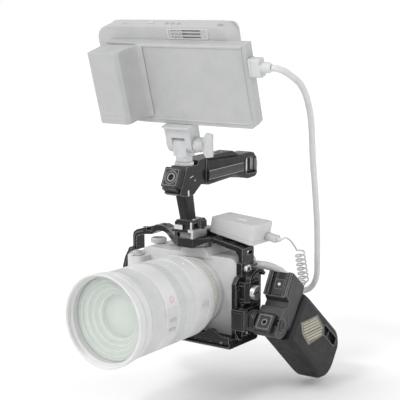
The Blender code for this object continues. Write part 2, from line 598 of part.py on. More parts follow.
def monitor(looks, holder):
    """Everything in the monitor's own leaning frame; its back faces -Y, its screen +Y."""
    outline = rounded((MONITOR_LEFT, MONITOR_UNDER), (MONITOR_RIGHT, MONITOR_TOP), [5, 5, 14, 14], 5)
    housing = prism("Y", HOUSING_NEAR, HOUSING_FAR, outline)
    for step in range(3):
        z = PACK_TOP + 1.8 + 3.4 * step
        cut(housing, box((-2, HOUSING_NEAR - 1, z - 0.9), (32, HOUSING_NEAR + 3, z + 0.9)))
    power = (-32, 22.3)
    cut(housing, cylinder("Z", power, 3.4, MONITOR_TOP - 4, MONITOR_TOP + 2, 20))
    finish(housing, "monitor_housing", looks["payload"], parent=holder)

    pack_far = HOUSING_NEAR - GAP
    pack = prism("Z", MONITOR_UNDER, PACK_TOP, [
        (PACK_LEFT, 0.3), (-40, -2.3), (PACK_RIGHT - 4, -2.3), (PACK_RIGHT, 0.3), (PACK_RIGHT, pack_far),
        (PACK_LEFT, pack_far),
    ])
    under = MONITOR_UNDER - 1
    corner = [(PACK_RIGHT - 6, under), (PACK_RIGHT + 1, under), (PACK_RIGHT + 1, under + 7)]
    cut(pack, prism("Y", -4, HOUSING_NEAR + 1, corner))
    finish(pack, "monitor_back_plate", looks["payload"], parent=holder)

    battery = prism("Z", BATTERY_UNDER, BATTERY_TOP, [
        (PACK_LEFT, -2.9), (PACK_LEFT, -28.7), (PACK_LEFT + 2, -30.7), (-42, -30.7), (-38.5, -27.2),
        (-37.5, -14.7), (-33, -4.7), (-28, -2.9),
    ])
    finish(battery, "monitor_battery", looks["payload_soft"], parent=holder)

    pane = rounded((MONITOR_LEFT + 4, MONITOR_UNDER + 3.4), (MONITOR_RIGHT - 4, MONITOR_TOP - 4), 8, 4)
    glass = prism("Y", HOUSING_FAR + GAP, HOUSING_FAR + 2, pane)
    finish(glass, "monitor_screen", looks["glass"], parent=holder)
    button = cylinder("Z", power, 3.0, MONITOR_TOP - 2.6, MONITOR_TOP + 0.9, 20, 0.3)
    finish(button, "monitor_power_button", looks["payload_soft"], (*power, MONITOR_TOP), holder)

    plug = prism("X", PACK_RIGHT + GAP, PACK_RIGHT + 12, rounded((-1.1, 70.4), (8.7, 88.4), 2.5, 3))
    join(plug, cylinder("X", (3.8, 79.4), 5.0, PACK_RIGHT + 11, PACK_RIGHT + 20, 20, 1.0))
    finish(plug, "monitor_video_plug", looks["payload_soft"], parent=holder)


# ---------------------------------------------------------------- receiver and cables

def receiver(looks):
    holder = empty("receiver_frame", (34.5, 10.5, shoulder_z(34.5)), (0, SHOULDER_TILT, 0))
    foot = box((-9, -9, GAP), (9, 9, 2.5))
    case = prism("Z", 2.0, RECEIVER_TOP_Z, rounded((-27.5, RECEIVER_FRONT), (25.5, 15.5), 4, 4))
    for corner in case.data.vertices:
        if corner.co.z > 0.01:
            corner.co.z += RECEIVER_SLOPE * corner.co.x
    join(case, foot)
    finish(case, "receiver_case", looks["payload"], parent=holder)
    plug = prism("X", 25.8, 38, rounded((2, 5.5), (12, 12.5), 2, 3))
    finish(plug, "receiver_plug", looks["payload_soft"], parent=holder)


def coiled_lead(looks):
    top, bottom = Vector((60, 84.5, 77)), Vector((60, 95, 42))
    turns, radius, steps = 7, 5.2, 11
    lead = [(75, 17.5, 103.2), (77, 22, 103.6), (74, 32, 103), (69.5, 50, 96), (64, 68, 86), (60.5, 79, 79)]
    path = smooth_path(lead, 4)[:-1]
    axis = (bottom - top).normalized()
    side = Vector((1, 0, 0))
    other = axis.cross(side)
    for i in range(turns * steps + 1):
        a = 2 * math.pi * i / steps
        along_coil = top + (bottom - top) * (i / (turns * steps))
        path.append(along_coil + side * radius * math.sin(a) - other * radius * math.cos(a))
    path += [Vector((60, 92, 37.5)), Vector((58, 78, 35))]
    finish(tube(path, COIL_WIRE_R, 6), "receiver_coiled_lead", looks["cord"])


def video_cable(looks):
    upper = [(110.6, -55.9, 276.2), (116, -54.6, 275.2), (121.6, -46, 270.4), (121.2, -20, 256.4)]
    upper += [(114.4, 7, 228), (103, 33, 183)]
    finish(tube(smooth_path(upper, 5), VIDEO_CABLE_R, 10), "video_cable_upper", looks["cord"])
    lower = [(102.7, 33.8, 181.4), (97, 49, 151), (90.4, 66, 112), (86.2, 75, 80), (83, 80, 56), (75, 82, 42)]
    lower += [(66, 75, 39), (62, 65, 48), (61, 56.3, 58.6), (61, 48.9, 62.7)]
    finish(tube(smooth_path(lower, 5), VIDEO_CABLE_R, 10), "video_cable_lower", looks["cord"])
    bend = [(50.6, SOCKET_Y, SOCKET_Z), (55, 10.5, SOCKET_Z), (58.5, 18, 75.5), (60.5, 30, 71.5)]
    plug = tube(bend + [(61, 48.4, 63)], 4.2, 14)
    finish(plug, "camera_video_plug", looks["cord"])


# ---------------------------------------------------------------- side clamp and side handle

def side_clamp(looks):
    body = prism("Z", 21, 41, [
        (60.2, -31.2), (66, -31.2), (66, -3), (56.4, -3), (56.4, -7.8), (60.2, -7.8),
    ])
    cut(body, cylinder("Y", SIDE_KNOB, 2.5, -33, 0, 16))
    join(body, cylinder("X", (SWIVEL_Y, SWIVEL_Z), SWIVEL_R, 65, 69.8, 36))
    finish(body, "side_clamp_body", looks["anodised"])
    jaw = prism("Z", 21, 41, [
        (54.6, -37), (69, -37), (70, -36), (70, -32), (60, -32), (60, -27), (56, -27), (56, -30.6),
        (54.6, -30.6),
    ])
    cut(jaw, cylinder("Y", SIDE_KNOB, 2.5, -35, -26, 16))
    finish(jaw, "side_clamp_jaw", looks["anodised"], (SIDE_KNOB[0], -37, SIDE_KNOB[1]))
    profile = [(2.2, -33.2), (2.2, -2.6), (6.4, -2.6), (6.4, 3.4), (5.8, 4)]
    knob = turned("Y", SIDE_KNOB, profile, 24)
    finish(knob, "side_clamp_knob", looks["silver"], (SIDE_KNOB[0], 0, SIDE_KNOB[1]))


def side_handle_head(looks, holder):
    outline = arc((0, 0), BOSS_R, 262, 157.4, 12)
    outline += [(0, 5.0), (16, 5.0), (18, 0.6), (24, 0.6), (25.5, 5.6), (50, 9.6), (51, 8), (51, -13)]
    outline += [(46, -16.2), (10, -16.2)]
    head = prism("X", HEAD_IN, HEAD_OUT, outline)
    cut(head, cylinder("X", (0, 0), 6.2, HEAD_OUT - 4.2, HEAD_OUT + 1, 24))
    join(head, cylinder("X", (0, 0), SWIVEL_R, 70.1, HEAD_IN + 1, 32))
    finish(head, "side_handle_head", looks["anodised"], parent=holder)
    outline = [(-14, 6), (-13, 5.4), (6, 5.4), (7, 6), (7, 9), (5.5, 10.4), (-12.5, 10.4), (-14, 9)]
    block = prism("X", 78, 96, outline)
    cut(block, cylinder("Z", (87, -3.5), 3.1, 4, 12, 20))
    finish(block, "side_accessory_block", looks["coated"], parent=holder)
    button = cylinder("X", (0, 0), 5.8, HEAD_OUT - 2.9, HEAD_OUT + 1.0, 28, 0.4)
    finish(button, "side_swivel_button", looks["anodised"], (HEAD_OUT, 0, 0), holder)


def side_cold_shoe(looks, holder):
    """A shoe along the head's rear: a floor with a relief groove down each side, under two rails."""
    shoe = prism("Y", 26, 51, [
        (74.4, 0), (100.6, 0), (100.6, 5.0), (95.6, 5.0), (95.6, 3.6), (97, 3.6), (97, 1.6), (95.4, 1.6),
        (95.4, 1.8), (79.6, 1.8), (79.6, 1.6), (78, 1.6), (78, 3.6), (79.4, 3.6), (79.4, 5.0), (74.4, 5.0),
    ])
    turn(shoe, "X", math.degrees(math.atan2(4.0, 24.5)), (0, 25.5, 0))
    shoe.data.transform(Matrix.Translation(Vector((0, 0, 6.1)) * MM))
    finish(shoe, "side_cold_shoe", looks["anodised"], parent=holder)


def side_grip(looks, holder):
    outline = [(GRIP_FRONT + 3, GRIP_TOP)]
    outline += arc((GRIP_BACK - 8, GRIP_TOP - 8), 8, 90, 0, 4)
    outline += arc((GRIP_BACK - 20, GRIP_BOTTOM + 20), 20, 0, -70, 6)
    outline += arc((GRIP_FRONT + 24, GRIP_BOTTOM + 24), 24, -90, -180, 6)
    centre = ((GRIP_FRONT + GRIP_BACK) / 2, (GRIP_TOP + GRIP_BOTTOM) / 2)
    half = ((GRIP_BACK - GRIP_FRONT) / 2, (GRIP_TOP - GRIP_BOTTOM) / 2)

    def shrunk(by):
        wide, tall = 1 - by / half[0], 1 - by / half[1]
        return [(centre[0] + (y - centre[0]) * wide, centre[1] + (z - centre[1]) * tall) for y, z in outline]

    sections = [(GRIP_IN, shrunk(6)), (GRIP_IN + 2, shrunk(2)), (GRIP_IN + 6, shrunk(0))]
    sections += [(GRIP_OUT - 6, shrunk(0)), (GRIP_OUT - 2, shrunk(2)), (GRIP_OUT, shrunk(6))]
    grip = loft("X", sections)
    cut(
        grip,
        prism("X", GRIP_OUT - 4.5, GRIP_OUT + 1, rounded((28, -104), (37, -72), 2, 2)),
        prism("X", GRIP_OUT - 1.6, GRIP_OUT + 1, PANEL),
    )
    finish(grip, "side_grip", looks["rubber"], parent=holder)
    inset = [(16.4 + (y - 16.4) * 0.985, -50 + (z + 50) * 0.985) for y, z in PANEL]
    finish(prism("X", GRIP_OUT - 1.3, GRIP_OUT + 0.2, inset), "side_grip_panel", looks["label"], parent=holder)


def build():
    clear_scene()
    looks = make_materials()
    for make in (base_plate, side_plate, bridge, left_arm, right_arm, cable_clamp):
        make(looks)
    for make in (camera_body, camera_controls, lens, top_clamp, top_handle, nose_block):
        make(looks)
    monitor(looks, monitor_mount(looks))
    for make in (receiver, coiled_lead, video_cable, side_clamp):
        make(looks)
    holder = empty("side_handle_frame", (0, SWIVEL_Y, SWIVEL_Z), (HANDLE_SWING, 0, 0))
    for make in (side_handle_head, side_cold_shoe, side_grip):
        make(looks, holder)


build()
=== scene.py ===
"""The looks of the cinema camera rig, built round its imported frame.

Frame: origin on the base plate's underside, -Y is the way the lens points, +X is the side
with the side handle, +Z is up.
Places in this file are millimetres; MM turns them into Blender's metres.
"""

import json
import math

import bmesh
import bpy
from mathutils import Matrix, Vector


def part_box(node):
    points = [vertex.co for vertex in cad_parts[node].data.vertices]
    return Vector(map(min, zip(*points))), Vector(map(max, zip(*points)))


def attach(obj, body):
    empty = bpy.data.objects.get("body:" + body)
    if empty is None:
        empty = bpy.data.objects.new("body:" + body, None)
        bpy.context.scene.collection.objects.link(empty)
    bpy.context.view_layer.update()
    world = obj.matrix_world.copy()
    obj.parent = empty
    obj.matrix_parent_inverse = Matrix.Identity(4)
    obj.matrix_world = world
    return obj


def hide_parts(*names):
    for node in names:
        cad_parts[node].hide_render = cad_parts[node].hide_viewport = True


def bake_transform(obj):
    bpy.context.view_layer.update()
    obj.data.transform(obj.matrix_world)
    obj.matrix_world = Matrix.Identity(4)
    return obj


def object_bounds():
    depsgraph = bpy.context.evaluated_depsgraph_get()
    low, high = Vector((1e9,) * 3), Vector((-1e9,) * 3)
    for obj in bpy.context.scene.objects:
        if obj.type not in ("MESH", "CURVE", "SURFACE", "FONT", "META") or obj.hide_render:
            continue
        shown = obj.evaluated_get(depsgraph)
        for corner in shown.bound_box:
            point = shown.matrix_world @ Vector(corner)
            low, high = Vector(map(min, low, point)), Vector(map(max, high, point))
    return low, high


MM = 0.001
SHARP_ANGLE = math.radians(34)
FLAT_ANGLE = math.radians(0.8)
WELD_DISTANCE = 0.005

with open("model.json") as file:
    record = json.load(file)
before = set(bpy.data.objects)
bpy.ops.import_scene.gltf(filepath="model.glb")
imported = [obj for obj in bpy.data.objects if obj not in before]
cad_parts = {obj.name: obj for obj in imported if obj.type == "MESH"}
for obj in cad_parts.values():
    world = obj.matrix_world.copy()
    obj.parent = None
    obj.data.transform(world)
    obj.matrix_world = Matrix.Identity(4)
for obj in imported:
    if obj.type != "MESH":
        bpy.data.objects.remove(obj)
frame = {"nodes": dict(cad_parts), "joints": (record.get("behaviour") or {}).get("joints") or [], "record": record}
cad_low, cad_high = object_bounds()
joints = {j["name"]: j for j in frame["joints"]}


def pivot(name):
    """A joint's point in millimetres."""
    return Vector(joints[name]["pos_m"]) / MM


# Places taken from the frame
LENS_Z = pivot("lens_zoom_turn").z
LENS = (0, LENS_Z)
HANDLE_X = pivot("monitor_tilt").x
MOUNT = (HANDLE_X, pivot("monitor_tilt").y)
TILT_Z = pivot("monitor_tilt").z
SWIVEL = pivot("side_handle_swivel")

# The leaning parts' own frames
MONITOR_LEAN = 16.5
HANDLE_SWING = 51.0
NOSE_LEAN = -25.0
SHOULDER_TILT = 10.5


def leaning(place, axis, degrees):
    return Matrix.Translation(Vector(place)) @ Matrix.Rotation(math.radians(degrees), 4, axis)


MONITOR = leaning((0, MOUNT[1], TILT_Z), "X", MONITOR_LEAN)
SIDE = leaning((0, SWIVEL.y, SWIVEL.z), "X", HANDLE_SWING)
NOSE = leaning((HANDLE_X, -57, 151.5), "X", NOSE_LEAN)
SHOULDER = leaning((34.5, 10.5, 101.57), "Y", SHOULDER_TILT)


# ---- shapes: (points, faces) in millimetres

def skin(rings, closed=False):
    """A closed surface over rings of points; a ring of one point is a tip."""
    points = [tuple(p) for ring in rings for p in ring]
    starts = [sum(len(r) for r in rings[:i]) for i in range(len(rings))]
    pairs = list(zip(range(len(rings)), range(1, len(rings))))
    if closed:
        pairs.append((len(rings) - 1, 0))
    faces = []
    for i, j in pairs:
        a, b = len(rings[i]), len(rings[j])
        count = max(a, b)
        for k in range(count):
            m = (k + 1) % count
            corners = [starts[i] + k % a, starts[i] + m % a, starts[j] + m % b, starts[j] + k % b]
            faces.append(list(dict.fromkeys(corners)))
    if not closed:
        for i in (0, len(rings) - 1):
            if len(rings[i]) > 2:
                faces.append([starts[i] + k for k in range(len(rings[i]))])
    return points, faces


def along(axis, across, position):
    """The point at a position along an axis, with the other two coordinates given."""
    u, v = across
    return {"X": (position, u, v), "Y": (u, position, v), "Z": (u, v, position)}[axis]


def prism(axis, low, high, outline):
    """An outline drawn out along an axis."""
    return skin([[along(axis, p, at) for p in outline] for at in (low, high)])


def box(low, high):
    outline = [(low[0], low[1]), (high[0], low[1]), (high[0], high[1]), (low[0], high[1])]
    return prism("Z", low[2], high[2], outline)


def arc(centre, radius, start, end, steps):
    angles = [math.radians(start + (end - start) * i / steps) for i in range(steps + 1)]
    return [(centre[0] + radius * math.cos(a), centre[1] + radius * math.sin(a)) for a in angles]


def rounded(low, high, radius, steps=5):
    """A rectangle with round corners."""
    u0, v0, u1, v1 = low[0] + radius, low[1] + radius, high[0] - radius, high[1] - radius
    corners = [((u0, v0), 180), ((u1, v0), 270), ((u1, v1), 360), ((u0, v1), 450)]
    return [p for centre, start in corners for p in arc(centre, radius, start, start + 90, steps)]


def slab(axis, low, high, corner, far_corner, radius):
    """A plate with round corners."""
    return prism(axis, low, high, rounded(corner, far_corner, radius))


def ring_of(axis, low, high, outer, inner):
    """A frame between two outlines that have the same number of points."""
    loops = ((outer, low), (outer, high), (inner, high), (inner, low))
    return skin([[along(axis, p, at) for p in outline] for outline, at in loops], closed=True)


def turned(axis, centre, profile, segments=96, closed=False, ribs=0):
    """A turned shape; the profile lists (radius, place) and, on a ribbed stretch, the grooves' depth."""
    count = 4 * ribs if ribs else segments
    rings = []
    for radius, at, *depth in profile:
        if radius == 0:
            rings.append([along(axis, centre, at)])
            continue
        cut = depth[0] if depth else 0
        ring = []
        for k in range(count):
            r = radius - cut if k % 4 > 1 else radius
            a = 2 * math.pi * k / count
            ring.append(along(axis, (centre[0] + r * math.cos(a), centre[1] + r * math.sin(a)), at))
        rings.append(ring)
    return skin(rings, closed)


def knurled(axis, centre, profile, ribs):
    """A ribbed collar."""
    return turned(axis, centre, profile, closed=True, ribs=ribs)


def washer(axis, centre, outer, inner, low, high, segments):
    """A flat ring."""
    profile = [(outer, low), (outer, high), (inner, high), (inner, low)]
    return turned(axis, centre, profile, segments, closed=True)


def border(axis, low, high, corner, far_corner, radius, width, inner_radius):
    """A frame of even width, measured inwards from a rounded rectangle."""
    outer = rounded(corner, far_corner, radius)
    near = (corner[0] + width, corner[1] + width)
    far = (far_corner[0] - width, far_corner[1] - width)
    return ring_of(axis, low, high, outer, rounded(near, far, inner_radius))


def button(axis, centre, radius, low, high, edge=0.3, segments=32):
    """A short cylinder with chamfered rims."""
    profile = [(radius - edge, low), (radius, low + edge), (radius, high - edge), (radius - edge, high)]
    return turned(axis, centre, profile, segments)


def screw(axis, centre, radius, face, out=1, socket=0.5):
    """A cap screw's head standing on a face, with a round socket sunk into it."""
    high = face + out * radius * 0.5
    profile = [(0, face), (radius, face), (radius, high - out * 0.25), (radius - 0.25, high)]
    profile += [(radius * socket, high), (radius * socket, face + out * 0.25), (0, face + out * 0.25)]
    return turned(axis, centre, profile, 24)


def smooth_path(points, steps):
    """A Catmull-Rom curve through the points."""
    knots = [Vector(p) for p in points]
    knots = [knots[0] * 2 - knots[1]] + knots + [knots[-1] * 2 - knots[-2]]
    path = []
    for a, b, c, d in zip(knots, knots[1:], knots[2:], knots[3:]):
        for i in range(steps):
            t = i / steps
            path.append(0.5 * (2 * b + (c - a) * t + (2 * a - 5 * b + 4 * c - d) * t**2
                               + (3 * b - a - 3 * c + d) * t**3))
    path.append(knots[-2])
    return path


def tube(path, radius, segments=16):
    """A round cord along a path; radius may be a function of the share of the way along."""
    rings = []
    side = (path[1] - path[0]).orthogonal().normalized()
    last = len(path) - 1
    for i, point in enumerate(path):
        ahead = (path[min(i + 1, last)] - path[max(i - 1, 0)]).normalized()
        side = (side - ahead * side.dot(ahead)).normalized()
        other = ahead.cross(side)
        r = radius(i / last) if callable(radius) else radius
        turns = [2 * math.pi * k / segments for k in range(segments)]
        rings.append([point + (side * math.cos(a) + other * math.sin(a)) * r for a in turns])
    return skin(rings)


def together(shapes):
    """Several shapes as one."""
    points, faces = [], []
    for some_points, some_faces in shapes:
        faces += [[i + len(points) for i in f] for f in some_faces]
        points += some_points
    return points, faces


def placed(shape, matrix):
    points, faces = shape
    return [tuple(matrix @ Vector(p)) for p in points], faces


# ---- materials

def add(tree, kind, **values):
    """A node, with its sockets and its settings given by name."""
    node = tree.nodes.new(kind)
    for key, value in values.items():
        if key in node.inputs:
            node.inputs[key].default_value = value
        else:
            setattr(node, key, value)
    return node


def noise(tree, coords, size, detail=3.0, rough=0.6):
    """A noise whose patches are about the given size in millimetres."""
    node = add(tree, "ShaderNodeTexNoise", Scale=1000 / size, Detail=detail, Roughness=rough)
    tree.links.new(coords, node.inputs["Vector"])
    return node.outputs["Fac"]


def ranged(tree, source, low, high, start=0.3, end=0.7):
    """A value that goes from low to high as its source goes from start to end."""
    node = add(tree, "ShaderNodeMapRange")
    for name, value in (("From Min", start), ("From Max", end), ("To Min", low), ("To Max", high)):
        node.inputs[name].default_value = value
    tree.links.new(source, node.inputs["Value"])
    return node.outputs["Result"]


def mixed(tree, share, a, b):
    """A colour between a and b; each is a colour or a socket."""
    node = add(tree, "ShaderNodeMix", data_type="RGBA")
    colours = [s for s in node.inputs if s.type == "RGBA"]
    tree.links.new(share, node.inputs[0])
    for socket, value in zip(colours, (a, b)):
        if isinstance(value, tuple):
            socket.default_value = (*value, 1.0)
        else:
            tree.links.new(value, socket)
    return [s for s in node.outputs if s.type == "RGBA"][0]


def math_node(tree, operation, a, b=0.0):
    """One sum; a and b are each a number or a socket."""
    node = add(tree, "ShaderNodeMath", operation=operation)
    for socket, value in zip(node.inputs, (a, b)):
        if isinstance(value, (int, float)):
            socket.default_value = value
        else:
            tree.links.new(value, socket)
    return node.outputs[0]


def bumped(tree, height, strength, depth):
    """A bump node of a depth in millimetres."""
    node = add(tree, "ShaderNodeBump", Strength=strength, Distance=depth * MM)
    tree.links.new(height, node.inputs["Height"])
    return node


def edge_share(tree, radius):
    """1 on the edges and 0 on flats, from how far a rounded normal leans away from the true one."""
    rounded_normal = add(tree, "ShaderNodeBevel", samples=6, Radius=radius * MM)
    true_normal = add(tree, "ShaderNodeNewGeometry")
    dot = add(tree, "ShaderNodeVectorMath", operation="DOT_PRODUCT")
    tree.links.new(rounded_normal.outputs[0], dot.inputs[0])
    tree.links.new(true_normal.outputs["Normal"], dot.inputs[1])
    return ranged(tree, dot.outputs["Value"], 1.0, 0.0, 0.86, 0.995)


GLOSS_SPREAD = 0.07
# Width in millimetres of the paler edges: partly wear, partly a painted highlight.
EDGE_WEAR_AND_HIGHLIGHT_WIDTH = 0.75
GRAIN_DEPTH = 0.08


def finish(name, dark, light, rough, metallic=0.0, grain=0.5, bump=0.25, patch=14.0, edge=None, extra=None,
           **fixed):
    """A material: mottled colour, uneven gloss and fine grain, with paler edges where edge is a colour, partly
    wear and partly a painted highlight.

    patch, grain and the width of the paler edges are sizes in millimetres; extra is a function that adds to
    the colour and the bump; fixed values go to the shader's sockets of those names.
    """
    look = bpy.data.materials.new(name)
    look.use_nodes = True
    tree = look.node_tree
    shader = tree.nodes["Principled BSDF"]
    shader.inputs["Metallic"].default_value = metallic
    for key, value in fixed.items():
        shader.inputs[key.replace("_", " ")].default_value = value
    coords = add(tree, "ShaderNodeTexCoord").outputs["Object"]
    colour = mixed(tree, ranged(tree, noise(tree, coords, patch, 5.0), 0, 1), dark, light)
    gloss = ranged(tree, noise(tree, coords, patch * 0.4, 4.0), rough - GLOSS_SPREAD, rough + GLOSS_SPREAD)
    if edge:
        # The paler edges stand partly for wear and partly for a painted highlight along every edge.
        wear_and_highlight_patches = ranged(tree, noise(tree, coords, 3.0, 4.0), 0.45, 1.0)
        share = math_node(tree, "MULTIPLY", edge_share(tree, EDGE_WEAR_AND_HIGHLIGHT_WIDTH), wear_and_highlight_patches)
        colour = mixed(tree, share, colour, edge)
    height = noise(tree, coords, grain, 2.0)
    normal = bumped(tree, height, bump, GRAIN_DEPTH)
    if extra:
        colour, normal = extra(tree, coords, colour, normal)
    tree.links.new(colour, shader.inputs["Base Color"])
    tree.links.new(gloss, shader.inputs["Roughness"])
    tree.links.new(normal.outputs["Normal"], shader.inputs["Normal"])
    return look


def pebbled(tree, coords, colour, normal):
    """The small raised cells of moulded grip rubber."""
    cells = add(tree, "ShaderNodeTexVoronoi", Scale=1000 / 1.3)
    tree.links.new(coords, cells.inputs["Vector"])
    second = bumped(tree, cells.outputs["Distance"], 0.55, 0.25)
    tree.links.new(normal.outputs["Normal"], second.inputs["Normal"])
    return colour, second


def braided(tree, coords, colour, normal):
    """Two crossing sets of strands, laid along and round the cord by its UV map, with painted shade in the gaps
    between strands.
    """
    uv = add(tree, "ShaderNodeTexCoord").outputs["UV"]
    crossing = []
    for turn in (0.9, -0.9):
        turned_uv = add(tree, "ShaderNodeMapping")
        turned_uv.inputs["Rotation"].default_value = (0, 0, turn)
        tree.links.new(uv, turned_uv.inputs["Vector"])
        strands = add(tree, "ShaderNodeTexWave", Scale=0.5, bands_direction="X")
        tree.links.new(turned_uv.outputs[0], strands.inputs["Vector"])
        crossing.append(strands.outputs["Fac"])
    height = math_node(tree, "MULTIPLY", *crossing)
    # Darker grey where the strands dip: painted shade in the gaps.
    darker = mixed(tree, ranged(tree, height, 0, 0.35, 0.5, 0.0), colour, (0.50, 0.50, 0.51))
    second = bumped(tree, height, 0.4, 0.25)
    tree.links.new(normal.outputs["Normal"], second.inputs["Normal"])
    return darker, second


def brushed(tree, coords, colour, normal):
    """Fine turning marks: noise drawn out along one way."""
    stretch = add(tree, "ShaderNodeMapping")
    stretch.inputs["Scale"].default_value = (1, 1, 9)
    tree.links.new(coords, stretch.inputs["Vector"])
    lines = noise(tree, stretch.outputs[0], 2.2, 3.0)
    second = bumped(tree, lines, 0.05, 0.02)
    tree.links.new(normal.outputs["Normal"], second.inputs["Normal"])
    return colour, second


# Each look: its darker and its paler colour, its roughness, and what sets it apart; an edge colour is partly wear
# and partly a painted highlight along the edges
LOOKS = {
    "black_anodised": ((0.0045, 0.0047, 0.005), (0.0095, 0.0098, 0.0105), 0.28, dict(
        metallic=0.1, grain=0.35, bump=0.3, edge=(0.46, 0.46, 0.47), Specular_IOR_Level=0.32)),
    "black_coated": ((0.005, 0.0055, 0.006), (0.010, 0.0105, 0.011), 0.44, dict(
        grain=0.6, bump=0.4, edge=(0.16, 0.16, 0.165), Specular_IOR_Level=0.36)),
    "bright_steel": ((0.58, 0.58, 0.59), (0.68, 0.68, 0.69), 0.40, dict(
        metallic=1.0, patch=18.0, bump=0.02, edge=(0.85, 0.85, 0.85), extra=brushed)),
    "grip_rubber": ((0.005, 0.005, 0.0055), (0.010, 0.010, 0.0105), 0.55, dict(
        patch=22.0, edge=(0.10, 0.10, 0.105), extra=pebbled, Specular_IOR_Level=0.34)),
    "khaki_panel": ((0.35, 0.335, 0.265), (0.44, 0.42, 0.34), 0.5, dict(patch=6.0)),
    "pale_grey_body": ((0.52, 0.522, 0.525), (0.57, 0.572, 0.575), 0.45, dict(
        grain=0.7, edge=(0.70, 0.70, 0.705))),
    "pale_grey_ribbed": ((0.51, 0.515, 0.52), (0.56, 0.565, 0.57), 0.6, dict(grain=0.9, bump=0.35)),
    "pale_grey_metal": ((0.47, 0.474, 0.48), (0.53, 0.534, 0.54), 0.34, dict(
        metallic=0.1, patch=8.0, edge=(0.72, 0.72, 0.72))),
    "coated_glass": ((0.66, 0.71, 0.67), (0.72, 0.76, 0.73), 0.10, dict(
        grain=3.0, bump=0.02, patch=30.0, Alpha=0.22, Coat_Weight=1.0)),
    "pale_grey_cord": ((0.57, 0.575, 0.58), (0.64, 0.645, 0.65), 0.55, dict(extra=braided)),
    "monitor_grey": ((0.39, 0.392, 0.395), (0.43, 0.432, 0.435), 0.5, dict(
        grain=0.7, edge=(0.58, 0.585, 0.59))),
    "screen_glass": ((0.42, 0.45, 0.43), (0.46, 0.49, 0.47), 0.16, dict(
        grain=4.0, bump=0.0, patch=60.0, Coat_Weight=0.5)),
    # Painted light: a paler copy of the black anodising, for black faces that catch the light.
    "black_painted_lit": ((0.020, 0.0205, 0.0215), (0.034, 0.035, 0.037), 0.38, dict(
        metallic=0.1, grain=0.4, bump=0.3, edge=(0.42, 0.42, 0.43), Specular_IOR_Level=0.4)),
    "housing_grey": ((0.44, 0.442, 0.445), (0.48, 0.482, 0.485), 0.55, dict(
        grain=0.9, edge=(0.56, 0.562, 0.565))),
    "lens_grey": ((0.57, 0.567, 0.567), (0.62, 0.616, 0.616), 0.38, dict(
        grain=0.7, edge=(0.72, 0.72, 0.72))),
    "lens_panel": ((0.52, 0.51, 0.515), (0.57, 0.56, 0.565), 0.5, dict(patch=5.0)),
    "seam_grey": ((0.38, 0.385, 0.39), (0.43, 0.435, 0.44), 0.6, dict(patch=5.0)),
    "mount_beige": ((0.56, 0.54, 0.48), (0.64, 0.62, 0.56), 0.4, dict(
        metallic=0.1, patch=20.0, bump=0.1)),
    "lens_green": ((0.62, 0.67, 0.63), (0.68, 0.73, 0.69), 0.35, dict(patch=18.0)),
    # Painted highlights on the lens cell's lips.
    "lens_lip_highlight": ((0.80, 0.81, 0.80), (0.88, 0.89, 0.88), 0.3, dict(patch=9.0)),
    "insert_grey": ((0.16, 0.16, 0.165), (0.24, 0.24, 0.245), 0.4, dict(metallic=0.5, patch=12.0)),
    "seam_khaki": ((0.09, 0.085, 0.055), (0.13, 0.12, 0.08), 0.6, dict(patch=4.0)),
    "mark_white": ((0.80, 0.80, 0.80), (0.9, 0.9, 0.9), 0.4, dict(patch=3.0)),
    "mark_pink": ((0.62, 0.36, 0.40), (0.72, 0.46, 0.50), 0.4, dict(patch=2.0)),
    # Painted shade: near-black for the insides of holes, slots and gaps.
    "painted_hole_shade": ((0.002, 0.002, 0.002), (0.004, 0.004, 0.004), 0.7, dict(patch=3.0)),
    "trim_grey": ((0.06, 0.06, 0.065), (0.10, 0.10, 0.105), 0.36, dict(metallic=0.3, patch=5.0)),
}
looks = {}
for name, (dark, light, rough, rest) in LOOKS.items():
    looks[name] = finish(name, dark, light, rough, **rest)


# ---- pieces

def put(name, data):
    """A new object in the scene."""
    obj = bpy.data.objects.new(name, data)
    bpy.context.scene.collection.objects.link(obj)
    return obj


def softened(obj, width, segments=2):
    """Round the sharp edges of a mesh and shade its flats as flats."""
    modifier = obj.modifiers.new("edges", "BEVEL")
    modifier.width = width * MM
    modifier.segments = segments
    modifier.limit_method = "ANGLE"
    modifier.angle_limit = SHARP_ANGLE
    modifier.miter_outer = "MITER_ARC"
    obj.modifiers.new("flats", "WEIGHTED_NORMAL").keep_sharp = True


def piece(name, shape, body, look, space=None, edge=0.0):
    """A new piece from a shape, or a list of shapes, in the rig's frame or in a leaning one (space)."""
    if isinstance(shape, list):
        shape = together(shape)
    points, faces = placed(shape, space) if space else shape
    bm = bmesh.new()
    corners = [bm.verts.new(Vector(p) * MM) for p in points]
    for face in faces:
        bm.faces.new([corners[i] for i in face])
    bmesh.ops.remove_doubles(bm, verts=bm.verts, dist=1e-7)
    bmesh.ops.recalc_face_normals(bm, faces=bm.faces)
    mesh = bpy.data.meshes.new(name)
    bm.to_mesh(mesh)
    bm.free()
    mesh.shade_smooth()
    obj = put(name, mesh)
    mesh.materials.append(looks[look])
    if edge:
        softened(obj, edge)
    else:
        mesh.set_sharp_from_angle(angle=SHARP_ANGLE)
    if body:
        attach(obj, body)
    return obj


